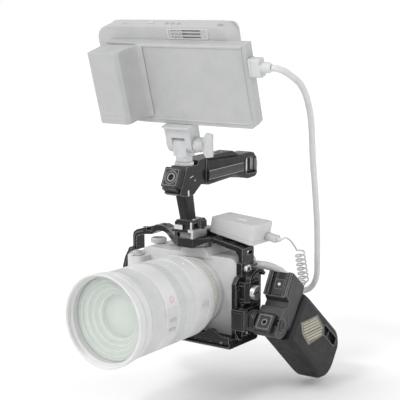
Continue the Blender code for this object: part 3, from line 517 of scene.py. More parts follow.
# How wide each node's rounded edges are; the others have SMALL_EDGE
SMALL_EDGE = 0.25
EDGE = {
    "camera_body": 1.8, "camera_eyecup": 0.8, "camera_rear_screen": 0.7, "monitor_housing": 2.0,
    "monitor_battery": 1.4, "monitor_back_plate": 0.7, "monitor_video_plug": 1.2, "receiver_case": 1.4,
    "receiver_plug": 0.8, "side_grip": 1.6, "side_handle_head": 0.9, "top_handle_frame": 1.1,
    "top_handle_grip": 1.2, "top_handle_strap_loop": 1.0, "top_handle_cover": 0.6, "cage_base_plate": 0.45,
    "cage_top_bridge": 0.5, "cage_left_arm": 0.6, "cage_right_arm": 0.6, "cage_side_plate": 0.5,
    "mount_tilt_head": 0.8, "mount_wing_knob": 0.8, "nose_block": 0.5, "side_accessory_block": 0.5,
    "side_cold_shoe": 0.35, "side_clamp_body": 0.6, "side_clamp_jaw": 0.6, "cable_clamp_block": 0.6,
    "camera_mode_dial": 0.3, "camera_exposure_dial": 0.3,
}

# Nodes whose look isn't their slot's own
LOOK_OF_NODE = {
    "monitor_housing": "housing_grey", "monitor_back_plate": "monitor_grey",
    "monitor_battery": "monitor_grey", "monitor_screen": "screen_glass",
    "camera_lens_mount": "mount_beige", "nose_thread_insert": "insert_grey",
    # The side handle's head takes the paler black: painted light on its lit faces.
    "side_handle_head": "black_painted_lit",
}
CORDS = ("receiver_coiled_lead", "camera_video_plug")


def dress_nodes():
    """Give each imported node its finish, rounded edges and clean shading."""
    for sub in frame["record"]["subparts"]:
        name, slot = sub["node"], sub["material_slot"]
        obj = frame["nodes"][name]
        mesh = obj.data
        if "custom_normal" in mesh.attributes:
            mesh.attributes.remove(mesh.attributes["custom_normal"])
        mesh.shade_smooth()
        mesh.materials.clear()
        mesh.materials.append(looks[LOOK_OF_NODE.get(name, slot)])
        obj.modifiers.new("join", "WELD").merge_threshold = WELD_DISTANCE * MM
        if name in CORDS:
            smooth = obj.modifiers.new("smooth", "SUBSURF")
            smooth.levels = 2
            smooth.render_levels = 2
            continue
        flats = obj.modifiers.new("flats_whole", "DECIMATE")
        flats.decimate_type = "DISSOLVE"
        flats.angle_limit = FLAT_ANGLE
        softened(obj, EDGE.get(name, SMALL_EDGE))


# ---- lens

RIM_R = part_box("lens_front_barrel")[1].x / MM
RIM_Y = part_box("lens_front_barrel")[0].y / MM
GLASS_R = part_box("lens_front_element")[1].x / MM
BORE_R = 34.5
TUBE_R = BORE_R - 0.4
TUBE_INNER_R = TUBE_R - 2.2
LENS_STEPS = 160
INNER_STEPS = 128


def lens_barrels():
    rear = [(30.5, -31.0), (32.6, -31.0), (33.2, -31.6), (33.2, -33.4), (36.0, -37.4), (40.2, -44.0)]
    rear += [(41.0, -46.0), (41.4, -48.4), (41.4, -53.6), (40.8, -54.0), (40.8, -54.8), (41.4, -55.2)]
    rear += [(41.4, -72.8), (40.9, -73.2), (40.9, -73.9), (41.4, -74.3), (41.4, -77.3), (41.0, -77.8)]
    rear += [(40.0, -77.8), (40.0, -104.0), (41.8, -104.0), (42.2, -104.4), (42.2, -124.2), (41.8, -124.6)]
    rear += [(40.0, -124.6), (40.0, -146.4), (BORE_R, -146.4), (BORE_R, -66), (24, -60), (24, -31)]
    barrel = piece("lens_barrel_shell", turned("Y", LENS, rear, LENS_STEPS, True), "root", "lens_grey")
    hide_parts("lens_main_barrel")

    zoom = [(40.3, -78.2), (41.3, -78.2), (41.7, -78.6), (41.7, -80.4), (41.7, -80.8, 0.3)]
    zoom += [(41.7, -89.6, 0.3), (41.2, -90.0), (41.2, -91.6), (41.7, -92.0, 0.3), (41.7, -100.8, 0.3)]
    zoom += [(41.7, -101.2), (41.7, -103.2), (41.3, -103.6), (40.3, -103.6)]
    ring = knurled("Y", LENS, zoom, 96)
    ring = piece("lens_zoom_ring_ribbed", ring, "lens_zoom_ring", "pale_grey_ribbed")
    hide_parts("lens_zoom_ring")

    focus = [(40.3, -125.0), (41.6, -125.0), (42.0, -125.4), (42.0, -127.4), (42.0, -127.8, 0.3)]
    focus += [(42.5, -143.2, 0.3), (42.5, -143.6), (42.5, -145.8), (42.1, -146.2), (40.3, -146.2)]
    ring = knurled("Y", LENS, focus, 128)
    ring = piece("lens_focus_ring_ribbed", ring, "lens_focus_ring", "pale_grey_ribbed")
    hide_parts("lens_focus_ring")

    front = [(TUBE_R, -112), (TUBE_R, -146.9), (42.6, -146.9), (43.0, -147.3), (43.4, -154.2), (43.0, -154.6)]
    front += [(42.2, -155.4), (42.2, -157.6), (43.8, -158.0), (RIM_R, -158.6), (RIM_R, RIM_Y + 0.5)]
    front += [(RIM_R - 0.5, RIM_Y), (42.9, RIM_Y), (42.4, RIM_Y + 0.4)]
    for turn in range(5):
        at = RIM_Y + 0.8 + 0.7 * turn
        front += [(41.9, at), (42.4, at + 0.35)]
    front += [(41.9, -161.6), (40.6, -160.8), (GLASS_R + 0.5, -160.0), (GLASS_R + 0.3, -148.4)]
    front += [(TUBE_INNER_R, -148.4), (TUBE_INNER_R, -112)]
    rim = piece("lens_front_rim", turned("Y", LENS, front, LENS_STEPS, True), "lens_front", "lens_grey")
    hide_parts("lens_front_barrel")


def lens_flange():
    ring = [(33.0, -26.9), (33.0, -30.3), (32.7, -30.6), (27.2, -30.6)]
    ring += [(26.8, -30.2), (26.0, -30.2), (26.0, -26.9)]
    obj = piece("lens_mount_ring", turned("Y", LENS, ring, INNER_STEPS, True), "root", "mount_beige")
    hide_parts("camera_lens_mount")


def dome(radius, edge_at, height, thick, segments=96):
    """A lens element whose front bulges towards -Y."""
    ball = (radius**2 + height**2) / (2 * height)
    steps = 14
    back = edge_at + thick
    face = []
    for i in range(steps + 1):
        r = radius * i / steps
        face.append((r, edge_at - height + ball - math.sqrt(ball**2 - r**2)))
    return turned("Y", LENS, face + [(radius, back), (0, back)], segments)


def lens_glass():
    glass = piece("lens_front_glass", dome(GLASS_R, -154.8, 5.0, 1.4), "lens_front", "coated_glass")
    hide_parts("lens_front_element")
    cell = [(GLASS_R, -152.8), (35.4, -152.4), (34.6, -150.2), (31.0, -149.8), (29.6, -146.0)]
    cell += [(26.8, -145.6), (25.0, -141.8), (21.6, -141.4), (20.6, -138.0)]
    cell += [(20.6, -132.0), (31.4, -132.0), (31.4, -148.9), (GLASS_R, -148.9)]
    piece("lens_cell_rings", turned("Y", LENS, cell, INNER_STEPS, True), "lens_front", "lens_green")
    # The cell's lips, paler than the cell: painted highlights.
    lips = []
    for radius, at in ((35.4, -152.4), (31.0, -149.8), (26.8, -145.6), (21.6, -141.4)):
        back, front = at + 0.3, at - 0.4
        lip = [(radius - 0.5, back), (radius + 0.5, back), (radius + 0.4, front), (radius - 0.4, front)]
        lips.append(turned("Y", LENS, lip, INNER_STEPS, True))
    piece("lens_cell_lips", lips, "lens_front", "lens_lip_highlight")
    piece("lens_second_element", dome(20.9, -136.2, 4.4, 2.0), "lens_front", "lens_green")


def bent_plate(radius, thick, low, high, start, end, steps=14):
    """A plate bent round the lens between two angles in degrees."""
    outer = arc(LENS, radius + thick, start, end, steps)
    inner = arc(LENS, radius, end, start, steps)
    return prism("Y", low, high, outer + inner)


def on_barrel(radius, at, degrees):
    """A frame on the lens's side whose X axis points straight out."""
    spin = Matrix.Rotation(-math.radians(degrees), 4, "Y")
    return Matrix.Translation(Vector((0, at, LENS_Z))) @ spin @ Matrix.Translation(Vector((radius, 0, 0)))


def lens_marks():
    panel = bent_plate(42.15, 0.3, -122.4, -106.6, -24, 12)
    piece("lens_switch_panel", panel, "root", "lens_panel", edge=0.12)
    switches = []
    for degrees in (-4, -16):
        switches.append(placed(box((0, -4.5, -1.6), (0.9, 4.5, 1.6)), on_barrel(42.3, -114.5, degrees)))
    piece("lens_panel_switches", switches, "root", "monitor_grey", edge=0.3)
    ring = washer("X", (0, 0), 3.3, 1.9, -0.2, 0.35, 40)
    piece("lens_ring_mark", ring, "root", "mark_pink", on_barrel(42.2, -112.7, 22))
    dots = []
    for radius, at, degrees in ((37.6, -40.0, 4.4), (41.3, -64.1, 65.6)):
        dots.append(placed(button("X", (0, 0), 0.9, -0.4, 0.35, 0.15, 20), on_barrel(radius, at, degrees)))
    piece("lens_index_dots", dots, "root", "mark_white")
    ticks = []
    for step, length in enumerate((2.2, 1.2, 1.2, 2.2, 1.2, 1.2, 2.2, 1.2, 2.2)):
        tick = box((-0.05, -length, -0.2), (0.12, 0, 0.2))
        ticks.append(placed(tick, on_barrel(41.4, -75.2, 30 + 4.5 * step)))
    piece("lens_zoom_ticks", ticks, "root", "seam_grey")
    release = button("Y", (-40.5, 30), 4.4, -22.6, -19.6, 0.5)
    piece("camera_lens_release", release, "root", "pale_grey_metal")


# ---- camera

CAMERA_SIDE = 50.0
CAMERA_REAR = 16.0
HUMP_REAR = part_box("camera_body")[1].y / MM
MODE_DIAL = (-62, 2)
EXPOSURE_DIAL = (-43, 4)
DIAL_MARKS = 8


def camera_details():
    doors = [slab("X", CAMERA_SIDE + 0.02, CAMERA_SIDE + 0.24, (1.2, low), (9.8, high), 1.4)
             for low, high in ((41.4, 51.2), (52.2, 62.6))]
    piece("camera_port_doors", doors, "root", "seam_grey")

    foot = CAMERA_REAR - 0.2
    controls = [washer("Y", (-53, 38), 9.0, 5.2, foot, CAMERA_REAR + 1.4, 48)]
    for centre, radius, height, rim in (
        ((-53, 38), 4.6, 1.8, 0.4), ((-49, 77), 3.2, 1.4, 0.4), ((-60, 70), 3.2, 1.4, 0.4),
        ((-53, 58), 4.0, 2.2, 0.9), ((-53, 22), 2.8, 1.2, 0.4),
    ):
        controls.append(button("Y", centre, radius, foot, CAMERA_REAR + height, rim))
    piece("camera_rear_controls", controls, "root", "pale_grey_metal")
    ridge = [(-64.5, CAMERA_REAR - 0.3), (-64.5, CAMERA_REAR + 2.0), (-62.5, CAMERA_REAR + 3.4),
             (-60, CAMERA_REAR - 0.3)]
    piece("camera_thumb_rest", prism("Z", 46, 80, ridge), "root", "pale_grey_ribbed", edge=0.6)
    pane = slab("Y", 20.65, 20.95, (-38, 20), (30, 68), 2)
    piece("camera_rear_screen_glass", pane, "camera_rear_screen", "seam_grey")
    eyepiece = slab("Y", HUMP_REAR + 2.1, HUMP_REAR + 2.6, (-11, 85), (11, 94), 3)
    piece("camera_eyepiece_glass", eyepiece, "root", "seam_grey")

    for name, body, centre, radius, low, high, ribs in (
        ("camera_mode_dial_knurl", "camera_mode_dial", MODE_DIAL, 8.35, 87.9, 91.5, 40),
        ("camera_exposure_dial_knurl", "camera_exposure_dial", EXPOSURE_DIAL, 6.3, 87.6, 90.2, 32),
    ):
        profile = [(radius - 1.2, low), (radius, low, 0.45), (radius, high, 0.45), (radius - 1.2, high)]
        piece(name, knurled("Z", centre, profile, ribs), body, "pale_grey_ribbed")
    marks = [box((-62.3, -5.0, 92.68), (-61.7, -2.6, 92.82))]
    middle = Matrix.Translation((*MODE_DIAL, 0))
    for k in range(1, DIAL_MARKS):
        spin = middle @ Matrix.Rotation(2 * math.pi * k / DIAL_MARKS, 4, "Z") @ middle.inverted()
        marks.append(placed(box((-62.25, -4.6, 92.68), (-61.75, -3.4, 92.82)), spin))
    piece("camera_mode_dial_marks", marks, "camera_mode_dial", "mark_white")
    lug = washer("X", (-8, 68), 2.6, 1.4, -68.2, -66.9, 24)
    piece("camera_strap_lug", lug, "root", "pale_grey_metal")


# ---- monitor and its mount

def monitor_details():
    low, top, near, far = 21.0, 114.4, 10.9, 32.3
    vents = [ring_of("Y", near - 0.6, near + 0.4, rounded((-5.5, 102.3), (41, 112.2), 1.6),
                     rounded((-4.3, 103.3), (39.8, 111.4), 1.0))]
    pitch, slat = 1.7, 0.7
    for k in range(9):
        x = -3 + pitch * k
        vents.append(box((x, near - 0.35, 103.4), (x + slat, near + 0.3, 111.2)))
    piece("monitor_vent_grille", vents, "monitor", "pale_grey_body", MONITOR)
    ridge = prism("X", -36, 84, [(-1.9, 98.0), (-3.1, 98.5), (-3.1, 100.1), (-1.9, 101.2)])
    lip = box((82.4, -2.9, 30), (83.4, -2.1, 98))
    foot = prism("X", -36, 80, [(-2.1, 24.4), (-2.9, 24.9), (-2.9, 25.9), (-2.1, 26.4)])
    piece("monitor_plate_ridges", [ridge, lip, foot], "monitor", "monitor_grey", MONITOR, edge=0.2)
    spots = [washer("Z", (x, 19), 2.6, 1.7, top - 0.2, top + 0.25, 32) for x in (-62.4, 50)]
    piece("monitor_top_sockets", spots, "monitor", "seam_grey", MONITOR)
    keys = [button("Z", (x, 20), 2.0, top - 0.2, top + 0.9, 0.3, 28) for x in (-12, -5, 2)]
    piece("monitor_top_keys", keys, "monitor", "seam_grey", MONITOR)
    bezel = ring_of("Y", far - 0.2, far + 2.3, rounded((-91, low + 1), (60.5, top - 1), 7),
                    rounded((-87.6, low + 3.8), (57.1, top - 4.4), 5))
    piece("monitor_screen_bezel", bezel, "monitor", "monitor_grey", MONITOR, edge=0.4)
    lines = [box((-66, -31.0, z), (-48, -30.4, z + 2)) for z in (33, 38)]
    piece("battery_grip_lines", lines, "monitor_battery", "monitor_grey", MONITOR, edge=0.2)
    crease = box((-74.9, -18.4, 28.6), (-75.25, -17.6, 100.2))
    piece("battery_side_crease", crease, "monitor_battery", "seam_grey", MONITOR)


def mount_details():
    disc = [(3.6, 178.0), (9.0, 178.0), (9.4, 178.4, 0.5), (9.4, 181.0, 0.5), (9.0, 181.4), (3.6, 181.4)]
    ring = knurled("Z", MOUNT, disc, 36)
    ring = piece("mount_lock_disc_knurled", ring, "mount_lock_disc", "pale_grey_metal")
    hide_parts("mount_lock_disc")
    tilt = (MOUNT[1], TILT_Z)
    piece("mount_tilt_cap", screw("X", tilt, 5.2, -16.4, -1, 0.45), "monitor", "pale_grey_metal")
    profile = [(5.0, 13.9), (7.4, 14.2, 0.5), (7.4, 19.4, 0.5), (5.0, 19.8)]
    piece("mount_wing_collar", knurled("X", tilt, profile, 24), "mount_wing_knob", "pale_grey_metal")
    pad = slab("Z", 19.4, 20.9, (HANDLE_X - 16, -12), (HANDLE_X + 16, 12), 3)
    piece("mount_top_pad", pad, "monitor", "pale_grey_ribbed", MONITOR, edge=0.3)


# ---- receiver and cables

# The case's lid stands this high over the shoulder's frame, and rises this much towards +X
LID_HEIGHT = 20.5
LID_SLOPE = 0.108
RECEIVER_LID = SHOULDER @ leaning((0, 0, LID_HEIGHT), "Y", -math.degrees(math.atan(LID_SLOPE)))


def receiver_details():
    window = slab("Z", -0.1, 0.3, (-3, -7.6), (7, -4.6), 1.4)
    piece("receiver_light", window, "root", "mark_white", RECEIVER_LID)
    seam = border("Z", 6.3, 6.7, (-27.62, -19.12), (25.62, 15.62), 4.1, 0.42, 4.0)
    piece("receiver_seam", seam, "root", "seam_grey", SHOULDER)
    screws = [screw("Z", (x, y), 1.3, 0) for x in (-23, 21) for y in (-14.5, 11)]
    piece("receiver_screws", screws, "root", "pale_grey_metal", RECEIVER_LID)
    lead_in = [Vector((37.6, 7, 9)), Vector((39.5, 7.6, 9)), Vector((41.2, 8.8, 9.2))]
    boot = tube(lead_in, lambda t: 2.8 - 1.2 * t)
    piece("receiver_lead_boot", boot, "root", "pale_grey_cord", SHOULDER)


# Points that the video cable runs through, from the monitor's plug down to the camera's cord
UPPER_CABLE = [(110.0, -56.2, 276.2), (116, -54.6, 275.2), (121.6, -46, 270.4), (121.2, -20, 256.4),
               (114.4, 7, 228), (103, 33, 183)]
LOWER_CABLE = [(97, 49, 151), (90.4, 66, 112), (86.2, 75, 80), (83, 80, 56), (75, 82, 42), (66, 75, 39),
               (62, 65, 48), (61, 56.3, 58.6), (61, 48.0, 62.9)]
CABLE_R = 3.1


def lay_uv(obj, path, segments):
    """Give a cord a UV map in millimetres: along it, and round it."""
    layer = obj.data.uv_layers.new(name="along")
    lengths = [0.0]
    for a, b in zip(path, path[1:]):
        lengths.append(lengths[-1] + (b - a).length)
    around = 2 * math.pi * CABLE_R / segments
    for polygon in obj.data.polygons:
        for corner in polygon.loop_indices:
            vertex = obj.data.loops[corner].vertex_index
            ring, turn = divmod(vertex, segments)
            if ring < len(path):
                layer.data[corner].uv = (lengths[ring], turn * around)


def video_cable():
    """The cable in four lengths, cut at three heights along its way down."""
    segments = 16
    steps = 9
    path = smooth_path(UPPER_CABLE + LOWER_CABLE, steps)
    ends = [0]
    for height in (262, 170, 130):
        ends.append(next(i for i, p in enumerate(path) if i > steps and p.z < height))
    ends.append(len(path) - 1)
    names = ("video_cable_head", "video_cable_bend", "video_cable_drop", "video_cable_tail")
    bodies = (("monitor_pan", "monitor"), ("top_handle", "monitor_pan"), ("root", "top_handle"), None)
    for name, pair, start, end in zip(names, bodies, ends, ends[1:]):
        stretch = path[start:end + 1]
        obj = piece(name, tube(stretch, CABLE_R, segments), None if pair else "root", "pale_grey_cord")
        lay_uv(obj, stretch, segments)
        if pair:
            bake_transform(obj)
        if name == "video_cable_head":
            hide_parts("video_cable_upper")
        if name == "video_cable_tail":
            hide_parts("video_cable_lower")


def plug_details():
    plug_axis = (3.8, 79.4)
    sleeve = [(5.0, 98.3), (5.3, 98.8), (5.3, 100.4), (4.7, 100.8), (4.7, 101.8), (5.2, 102.2), (5.2, 103.8),
              (4.6, 104.2), (4.6, 105.4), (4.9, 105.8), (4.9, 107.0), (3.3, 109.6)]
    piece("monitor_plug_sleeve", turned("X", plug_axis, sleeve, 48), "monitor", "pale_grey_cord", MONITOR)
    collar = border("X", 89.0, 90.2, (-1.5, 70.0), (9.1, 88.8), 2.8, 1.1, 2.2)
    piece("monitor_plug_collar", collar, "monitor", "pale_grey_ribbed", MONITOR)


# ---- top handle

def top_handle_details():
    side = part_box("top_handle_frame")[1].x / MM
    pill = slab("X", side - 0.3, side + 0.35, (-44.6, 148.6), (-42.2, 154.6), 1.15)
    piece("handle_side_pin", pill, "top_handle", "bright_steel")
    line = prism("X", side - 0.3, side + 0.2, [(-41, 166.0), (-35, 167.4), (-35, 168.0), (-41, 166.6)])
    dot = button("X", (-32.3, 163.0), 0.8, side - 0.3, side + 0.3, 0.1, 16)
    piece("handle_side_line", [line, dot], "top_handle", "bright_steel")
    rows = ((-4, 183.85), (9, 184.2), (22, 184.6))
    screws = [screw("Z", (x, y), 1.1, z) for y, z in rows for x in (-4.6, 2.6)]
    piece("cover_screws", screws, "top_handle", "bright_steel")
    profile = [(-14.2, 157.6), (-12.6, 157.2), (-12.6, 182.0), (-14.2, 182.4)]
    band = prism("X", HANDLE_X - 10.2, HANDLE_X + 10.2, profile)
    piece("handle_joint_band", band, "top_handle", "trim_grey", edge=0.3)
    # The grip's side facets, in the paler black: painted light on the lit facet.
    facets = []
    for sign in (-1, 1):
        x = HANDLE_X + sign * 13.0
        out = HANDLE_X + sign * 14.2
        start = [(x, -12.8, 161.2), (out, -12.8, 165.4), (out, -12.8, 166.6), (x, -12.8, 170.8)]
        end = [(x, 50, 163.0), (out, 49, 167.0), (out, 49, 168.2), (x, 50, 172.4)]
        facets.append(skin([start, end]))
    piece("grip_side_ridges", facets, "top_handle", "black_painted_lit", edge=0.3)
    window = border("X", side - 1.2, side - 0.4, (59.2, 157.4), (81.4, 176.2), 3.6, 1.0, 3.0)
    piece("strap_loop_trim", window, "top_handle", "trim_grey", edge=0.2)
    # Two bright steel bars on the loop's rear inner wall: painted light, standing in for the bright window through
    # the loop.
    width = 3.1
    bars = [box((x, 80.0, 160.4), (x + width, 80.7, 173.6)) for x in (HANDLE_X + 1.6, HANDLE_X + 6.2)]
    piece("strap_loop_lit_bars", bars, "top_handle", "bright_steel", edge=0.2)
    hub = washer("Z", MOUNT, 6.4, 3.5, 177.4, 177.9, 48)
    piece("handle_socket_ring", hub, "top_handle", "trim_grey")


def nose_details():
    face = -8.0
    middle = (-0.6, 14.8)
    # The nose face's border in the paler black: a painted highlight round the face.
    frame_line = border("Y", face - 0.35, face + 0.2, (-8.6, 6.2), (7.4, 23.4), 1.6, 0.8, 1.2)
    piece("nose_face_border", frame_line, "top_handle", "black_painted_lit", NOSE)
    circle = washer("Y", middle, 7.0, 6.0, face - 0.2, face + 0.2, 48)
    piece("nose_face_circle", circle, "top_handle", "black_anodised", NOSE)
    # The insert's hole: a near-black disc, painted shade.
    core = button("Y", middle, 3.0, -6.2, -5.4, 0.1, 32)
    piece("nose_insert_shaded_hole", core, "top_handle", "painted_hole_shade", NOSE)
    shelf = prism("X", -8.6, 7.4, [(-7.2, 2.6), (-0.4, 1.6), (-0.4, 4.3), (-7.2, 4.3)])
    piece("nose_lower_lip", shelf, "top_handle", "black_anodised", NOSE, edge=0.3)


RAIL_FRONT = -35.0
CLAMP_FRONT = -38.0
CLAMP_TOP = 123.35
CLAMP_HALF = 11


def top_clamp_details():
    left, right = HANDLE_X - CLAMP_HALF, HANDLE_X + CLAMP_HALF
    front = CLAMP_FRONT
    bar = slab("Y", front - 2.2, front - 1.4, (left + 0.7, 113.9), (-1.2, 118.5), 1.0)
    piece("safety_button_bar", bar, "top_clamp_safety_button", "bright_steel", edge=0.2)
    post = box((right - 3.0, front - 0.6, 114.8), (right - 0.9, front + 0.2, 121.6))
    piece("clamp_front_post", post, "top_handle", "bright_steel", edge=0.15)
    corner, far_corner = (HANDLE_X - 6.5, 105.2), (HANDLE_X + 6.5, 110.0)
    plate = slab("Y", RAIL_FRONT - 0.6, RAIL_FRONT + 0.1, corner, far_corner, 0.8)
    piece("rail_front_plate", plate, "root", "insert_grey", edge=0.15)
    ridges = []
    for z in (106.2, 107.3, 108.4):
        ridges.append(box((HANDLE_X - 5.6, RAIL_FRONT - 0.9, z), (HANDLE_X + 5.6, RAIL_FRONT - 0.5, z + 0.5)))
    piece("rail_plate_ridges", ridges, "root", "black_anodised")
    spots = ((-4.9, -19.9, 1.7), (6.0, -31.5, 1.9), (5.6, -18.4, 1.7), (-8.0, -31.5, 1.7))
    caps = [screw("Z", (x, y), radius, CLAMP_TOP) for x, y, radius in spots]
    piece("clamp_top_screws", caps, "top_handle", "bright_steel")
    profile = [(3.9, 10.6), (4.45, 10.9, 0.35), (4.45, 14.0, 0.35), (3.9, 14.3)]
    knurl = knurled("X", (-26, 118.8), profile, 24)
    piece("clamp_knob_knurl", knurl, "top_clamp_knob", "black_anodised")


# ---- cage

SIDE_PLATE_THICK = 5.0


def cage_details():
    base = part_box("cage_base_plate")
    front, rear = base[0].y / MM, base[1].y / MM
    corners = [(x, y) for x in (-52, 26) for y in (-33, 6)]
    feet = [slab("Z", -0.35, 0.15, (x, y), (x + 26, y + 5), 1.5) for x, y in corners]
    piece("base_rubber_strips", feet, "root", "grip_rubber")
    holes = [washer("Z", (x, -8), 2.9, 2.0, -0.12, 0.4, 32) for x in (-24, 24)]
    piece("base_thread_inserts", holes, "root", "bright_steel")
    bolts = [screw("Y", (x, 6.2), 1.5, front + 0.05, -1) for x in (-30, 44)]
    piece("base_front_screws", bolts, "root", "black_anodised")
    rail = [screw("Z", (HANDLE_X, y), 2.2, 109.4) for y in (-8, 5)]
    piece("top_rail_screws", rail, "root", "bright_steel")
    piece("side_rail_screw", screw("X", (-17, 14.4), 1.6, 59.6), "root", "bright_steel")
    spots = ((-78, 1, 102.0), (-54, 1, 107.7), (-35, -8, 105.25))
    threads = [washer("Z", (x, y), 3.0, 2.1, z, z + 0.6, 28) for x, y, z in spots]
    piece("left_arm_threads", threads, "root", "trim_grey")
    holes = [washer("Z", (x, -20), 2.7, 1.8, -0.2, 0.2, 28) for x in (-12.5, 4)]
    piece("right_arm_threads", holes, "root", "trim_grey", SHOULDER)
    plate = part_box("cage_side_plate")[0].x / MM + SIDE_PLATE_THICK
    spots = ((-3, 18), (9, 18), (9, 30), (-27, 60))
    bosses = [washer("X", spot, 2.6, 1.8, plate - 0.2, plate + 0.3, 28) for spot in spots]
    piece("side_plate_threads", bosses, "root", "trim_grey")
    rib = prism("X", plate - 0.2, plate + 0.5, [(-29, 24), (-28, 22), (-28, 58), (-29, 60)])
    piece("side_plate_rib", rib, "root", "trim_grey", edge=0.15)
    piece("base_rear_line", box((-50, rear - 0.2, 7.4), (48, rear + 0.25, 8.4)), "root", "trim_grey")
    outline = [(-88.6, 80), (-87.2, 80), (-87.2, 93.5), (-84.6, 96.2), (-76, 98.6), (-76, 100.2)]
    outline += [(-85.2, 97.8), (-88.6, 94.2)]
    piece("left_arm_rib", prism("Y", -6.35, -5.9, outline), "root", "trim_grey", edge=0.15)


def cable_clamp_details():
    profile = [(6.4, 66.7), (7.3, 67.1, 0.35), (7.3, 70.0, 0.35), (6.4, 70.4)]
    knurl = knurled("X", (-15.5, 55.5), profile, 30)
    piece("cable_knob_knurl", knurl, "cable_clamp_knob", "bright_steel")
    floor = box((69.55, -21.5, 54.55), (69.75, -9.5, 56.45))
    piece("cable_knob_slot", floor, "cable_clamp_knob", "trim_grey")
    # The bolt's socket: a near-black disc, painted shade.
    piece("lug_bolt_socket", button("X", (-15.4, 78), 2.1, 59.3, 59.7, 0.1, 24), "root", "painted_hole_shade")
    lines = [box((56, -25.35, z), (61.6, -24.9, z + 1)) for z in (49, 62)]
    piece("cable_block_lines", lines, "root", "trim_grey")


# ---- side clamp and side handle

def side_clamp_details():
    outer, inner = 10.9, 9.6
    rings = [washer("X", (0, 0), outer, inner, x, x + 1.1, 72) for x in (70.25, 72.1)]
    piece("swivel_rings", rings, "side_handle", "trim_grey", SIDE, edge=0.25)
    boss = washer("X", (SWIVEL.y, SWIVEL.z), outer, inner, 66.6, 68.4, 72)
    piece("swivel_boss_ring", boss, "side_clamp", "trim_grey", edge=0.25)
    edge_line = box((69.6, -36.6, 22.4), (70.15, -32.4, 39.6))
    piece("side_jaw_edge", edge_line, "side_clamp_jaw", "trim_grey", edge=0.15)
    front = slab("Y", -37.25, -36.8, (56.5, 23.2), (67.4, 38.8), 1.2)
    piece("side_jaw_face", front, "side_clamp_jaw", "black_coated", edge=0.15)
    profile = [(5.6, -2.2), (6.55, -1.8, 0.4), (6.55, 2.4, 0.4), (5.6, 2.8)]
    knurl = knurled("Y", (62.4, 31), profile, 28)
    piece("side_knob_knurl", knurl, "side_clamp_knob", "bright_steel")


HEAD_OUT = 100.05


def side_head_details():
    # A grey line along the head's rounded edge: a painted highlight.
    sweep = tube([Vector((HEAD_OUT, *p)) for p in arc((0, 0), 12.2, 250, 340, 20)], 0.45, 8)
    piece("head_arc_highlight", sweep, "side_handle", "trim_grey", SIDE)
    # The accessory face's border in the paler black: a painted highlight round the block's face.
    frame_line = border("Z", 10.3, 10.75, (80, -11.2), (94, 4.0), 1.4, 1.0, 1.0)
    piece("accessory_face_border", frame_line, "side_handle", "black_painted_lit", SIDE)
    x, y = 87, -3.5
    insert = washer("Z", (x, y), 3.0, 2.3, 7.0, 10.6, 36)
    piece("accessory_thread_insert", insert, "side_handle", "insert_grey", SIDE)
    # The hole's floor in near-black: painted shade.
    floor = button("Z", (x, y), 2.9, 6.6, 7.2, 0.1, 32)
    piece("accessory_hole_floor", floor, "side_handle", "painted_hole_shade", SIDE)
    # Two near-black dots: the locating holes' painted shade.
    dots = [button("Z", (x + step, y), 0.8, 10.3, 10.7, 0.1, 16) for step in (-4.4, 4.4)]
    piece("accessory_locating_dots", dots, "side_handle", "painted_hole_shade", SIDE)
    ring = washer("X", (0, 0), 7.2, 6.1, 99.9, 100.5, 64)
    piece("swivel_button_ring", ring, "side_handle", "trim_grey", SIDE, edge=0.15)
    cap = turned("X", (0, 0), [(3.4, 100.9), (3.9, 101.0), (3.9, 101.3), (3.4, 101.4)], 48, True)
    piece("swivel_button_ring_mark", cap, "side_swivel_button", "trim_grey", SIDE)
    vee = [(2.6, -15.9), (18, -15.9), (30, -15.2), (46, -15.2), (50.6, -12.4)]
    trim = tube(smooth_path([(100.0, y, z) for y, z in vee], 5), 0.4, 8)
    piece("head_grip_line", trim, "side_handle", "trim_grey", SIDE)


# The cold shoe's floor rises 4.0 over a length of 24.5
SHOE_TILT = math.atan2(4.0, 24.5)
SHOE_START = 25.5


def cold_shoe_details():
    tilt = leaning((0, SHOE_START, 6.1), "X", math.degrees(SHOE_TILT))
    space = SIDE @ tilt @ Matrix.Translation((0, -SHOE_START, 0))
    piece("shoe_screw", screw("Z", (87.5, 38.5), 1.5, 1.75), "side_handle", "bright_steel", space)
    plate = slab("Z", 1.7, 2.05, (82.5, 33.5), (92.5, 43.5), 0.8)
    piece("shoe_plate", plate, "side_handle", "black_anodised", space, edge=0.1)
    # Near-black lines on the shoe's floor: painted shade in its gaps.
    lines = [box((84.6, 43.8, 1.7), (90.4, 50.6, 1.95)), box((82.5, 27.5, 1.7), (92.5, 28.2, 2.0))]
    piece("shoe_floor_lines", lines, "side_handle", "painted_hole_shade", space)
    # Grey strips along the rails' tops: painted highlights on their edges.
    edges = [box((x, 26.2, 4.8), (x + 1.0, 50.8, 5.25)) for x in (75.6, 98.4)]
    piece("shoe_rail_highlights", edges, "side_handle", "trim_grey", space)


# The khaki panel's outline on the grip's outer side
PANEL = [(16.4, -27.3), (36.9, -51.6), (33, -71), (27, -74.7), (6.5, -53.9), (9.5, -36.4)]


def within_panel(share):
    """The panel's outline, drawn in towards its middle."""
    middle = Vector((21.4, -52.0))
    return [tuple(middle + (Vector(p) - middle) * share) for p in PANEL]


def crossings(outline, start, heading):
    """Where a line through start crosses an outline's sides."""
    found = []
    for p, q in zip(outline, outline[1:] + outline[:1]):
        p, side = Vector(p), Vector(q) - Vector(p)
        turn = heading.x * side.y - heading.y * side.x
        if abs(turn) > 1e-6:
            gap = p - start
            share = (gap.x * heading.y - gap.y * heading.x) / turn
            if 0 <= share < 1:
                found.append(p + side * share)
    return found


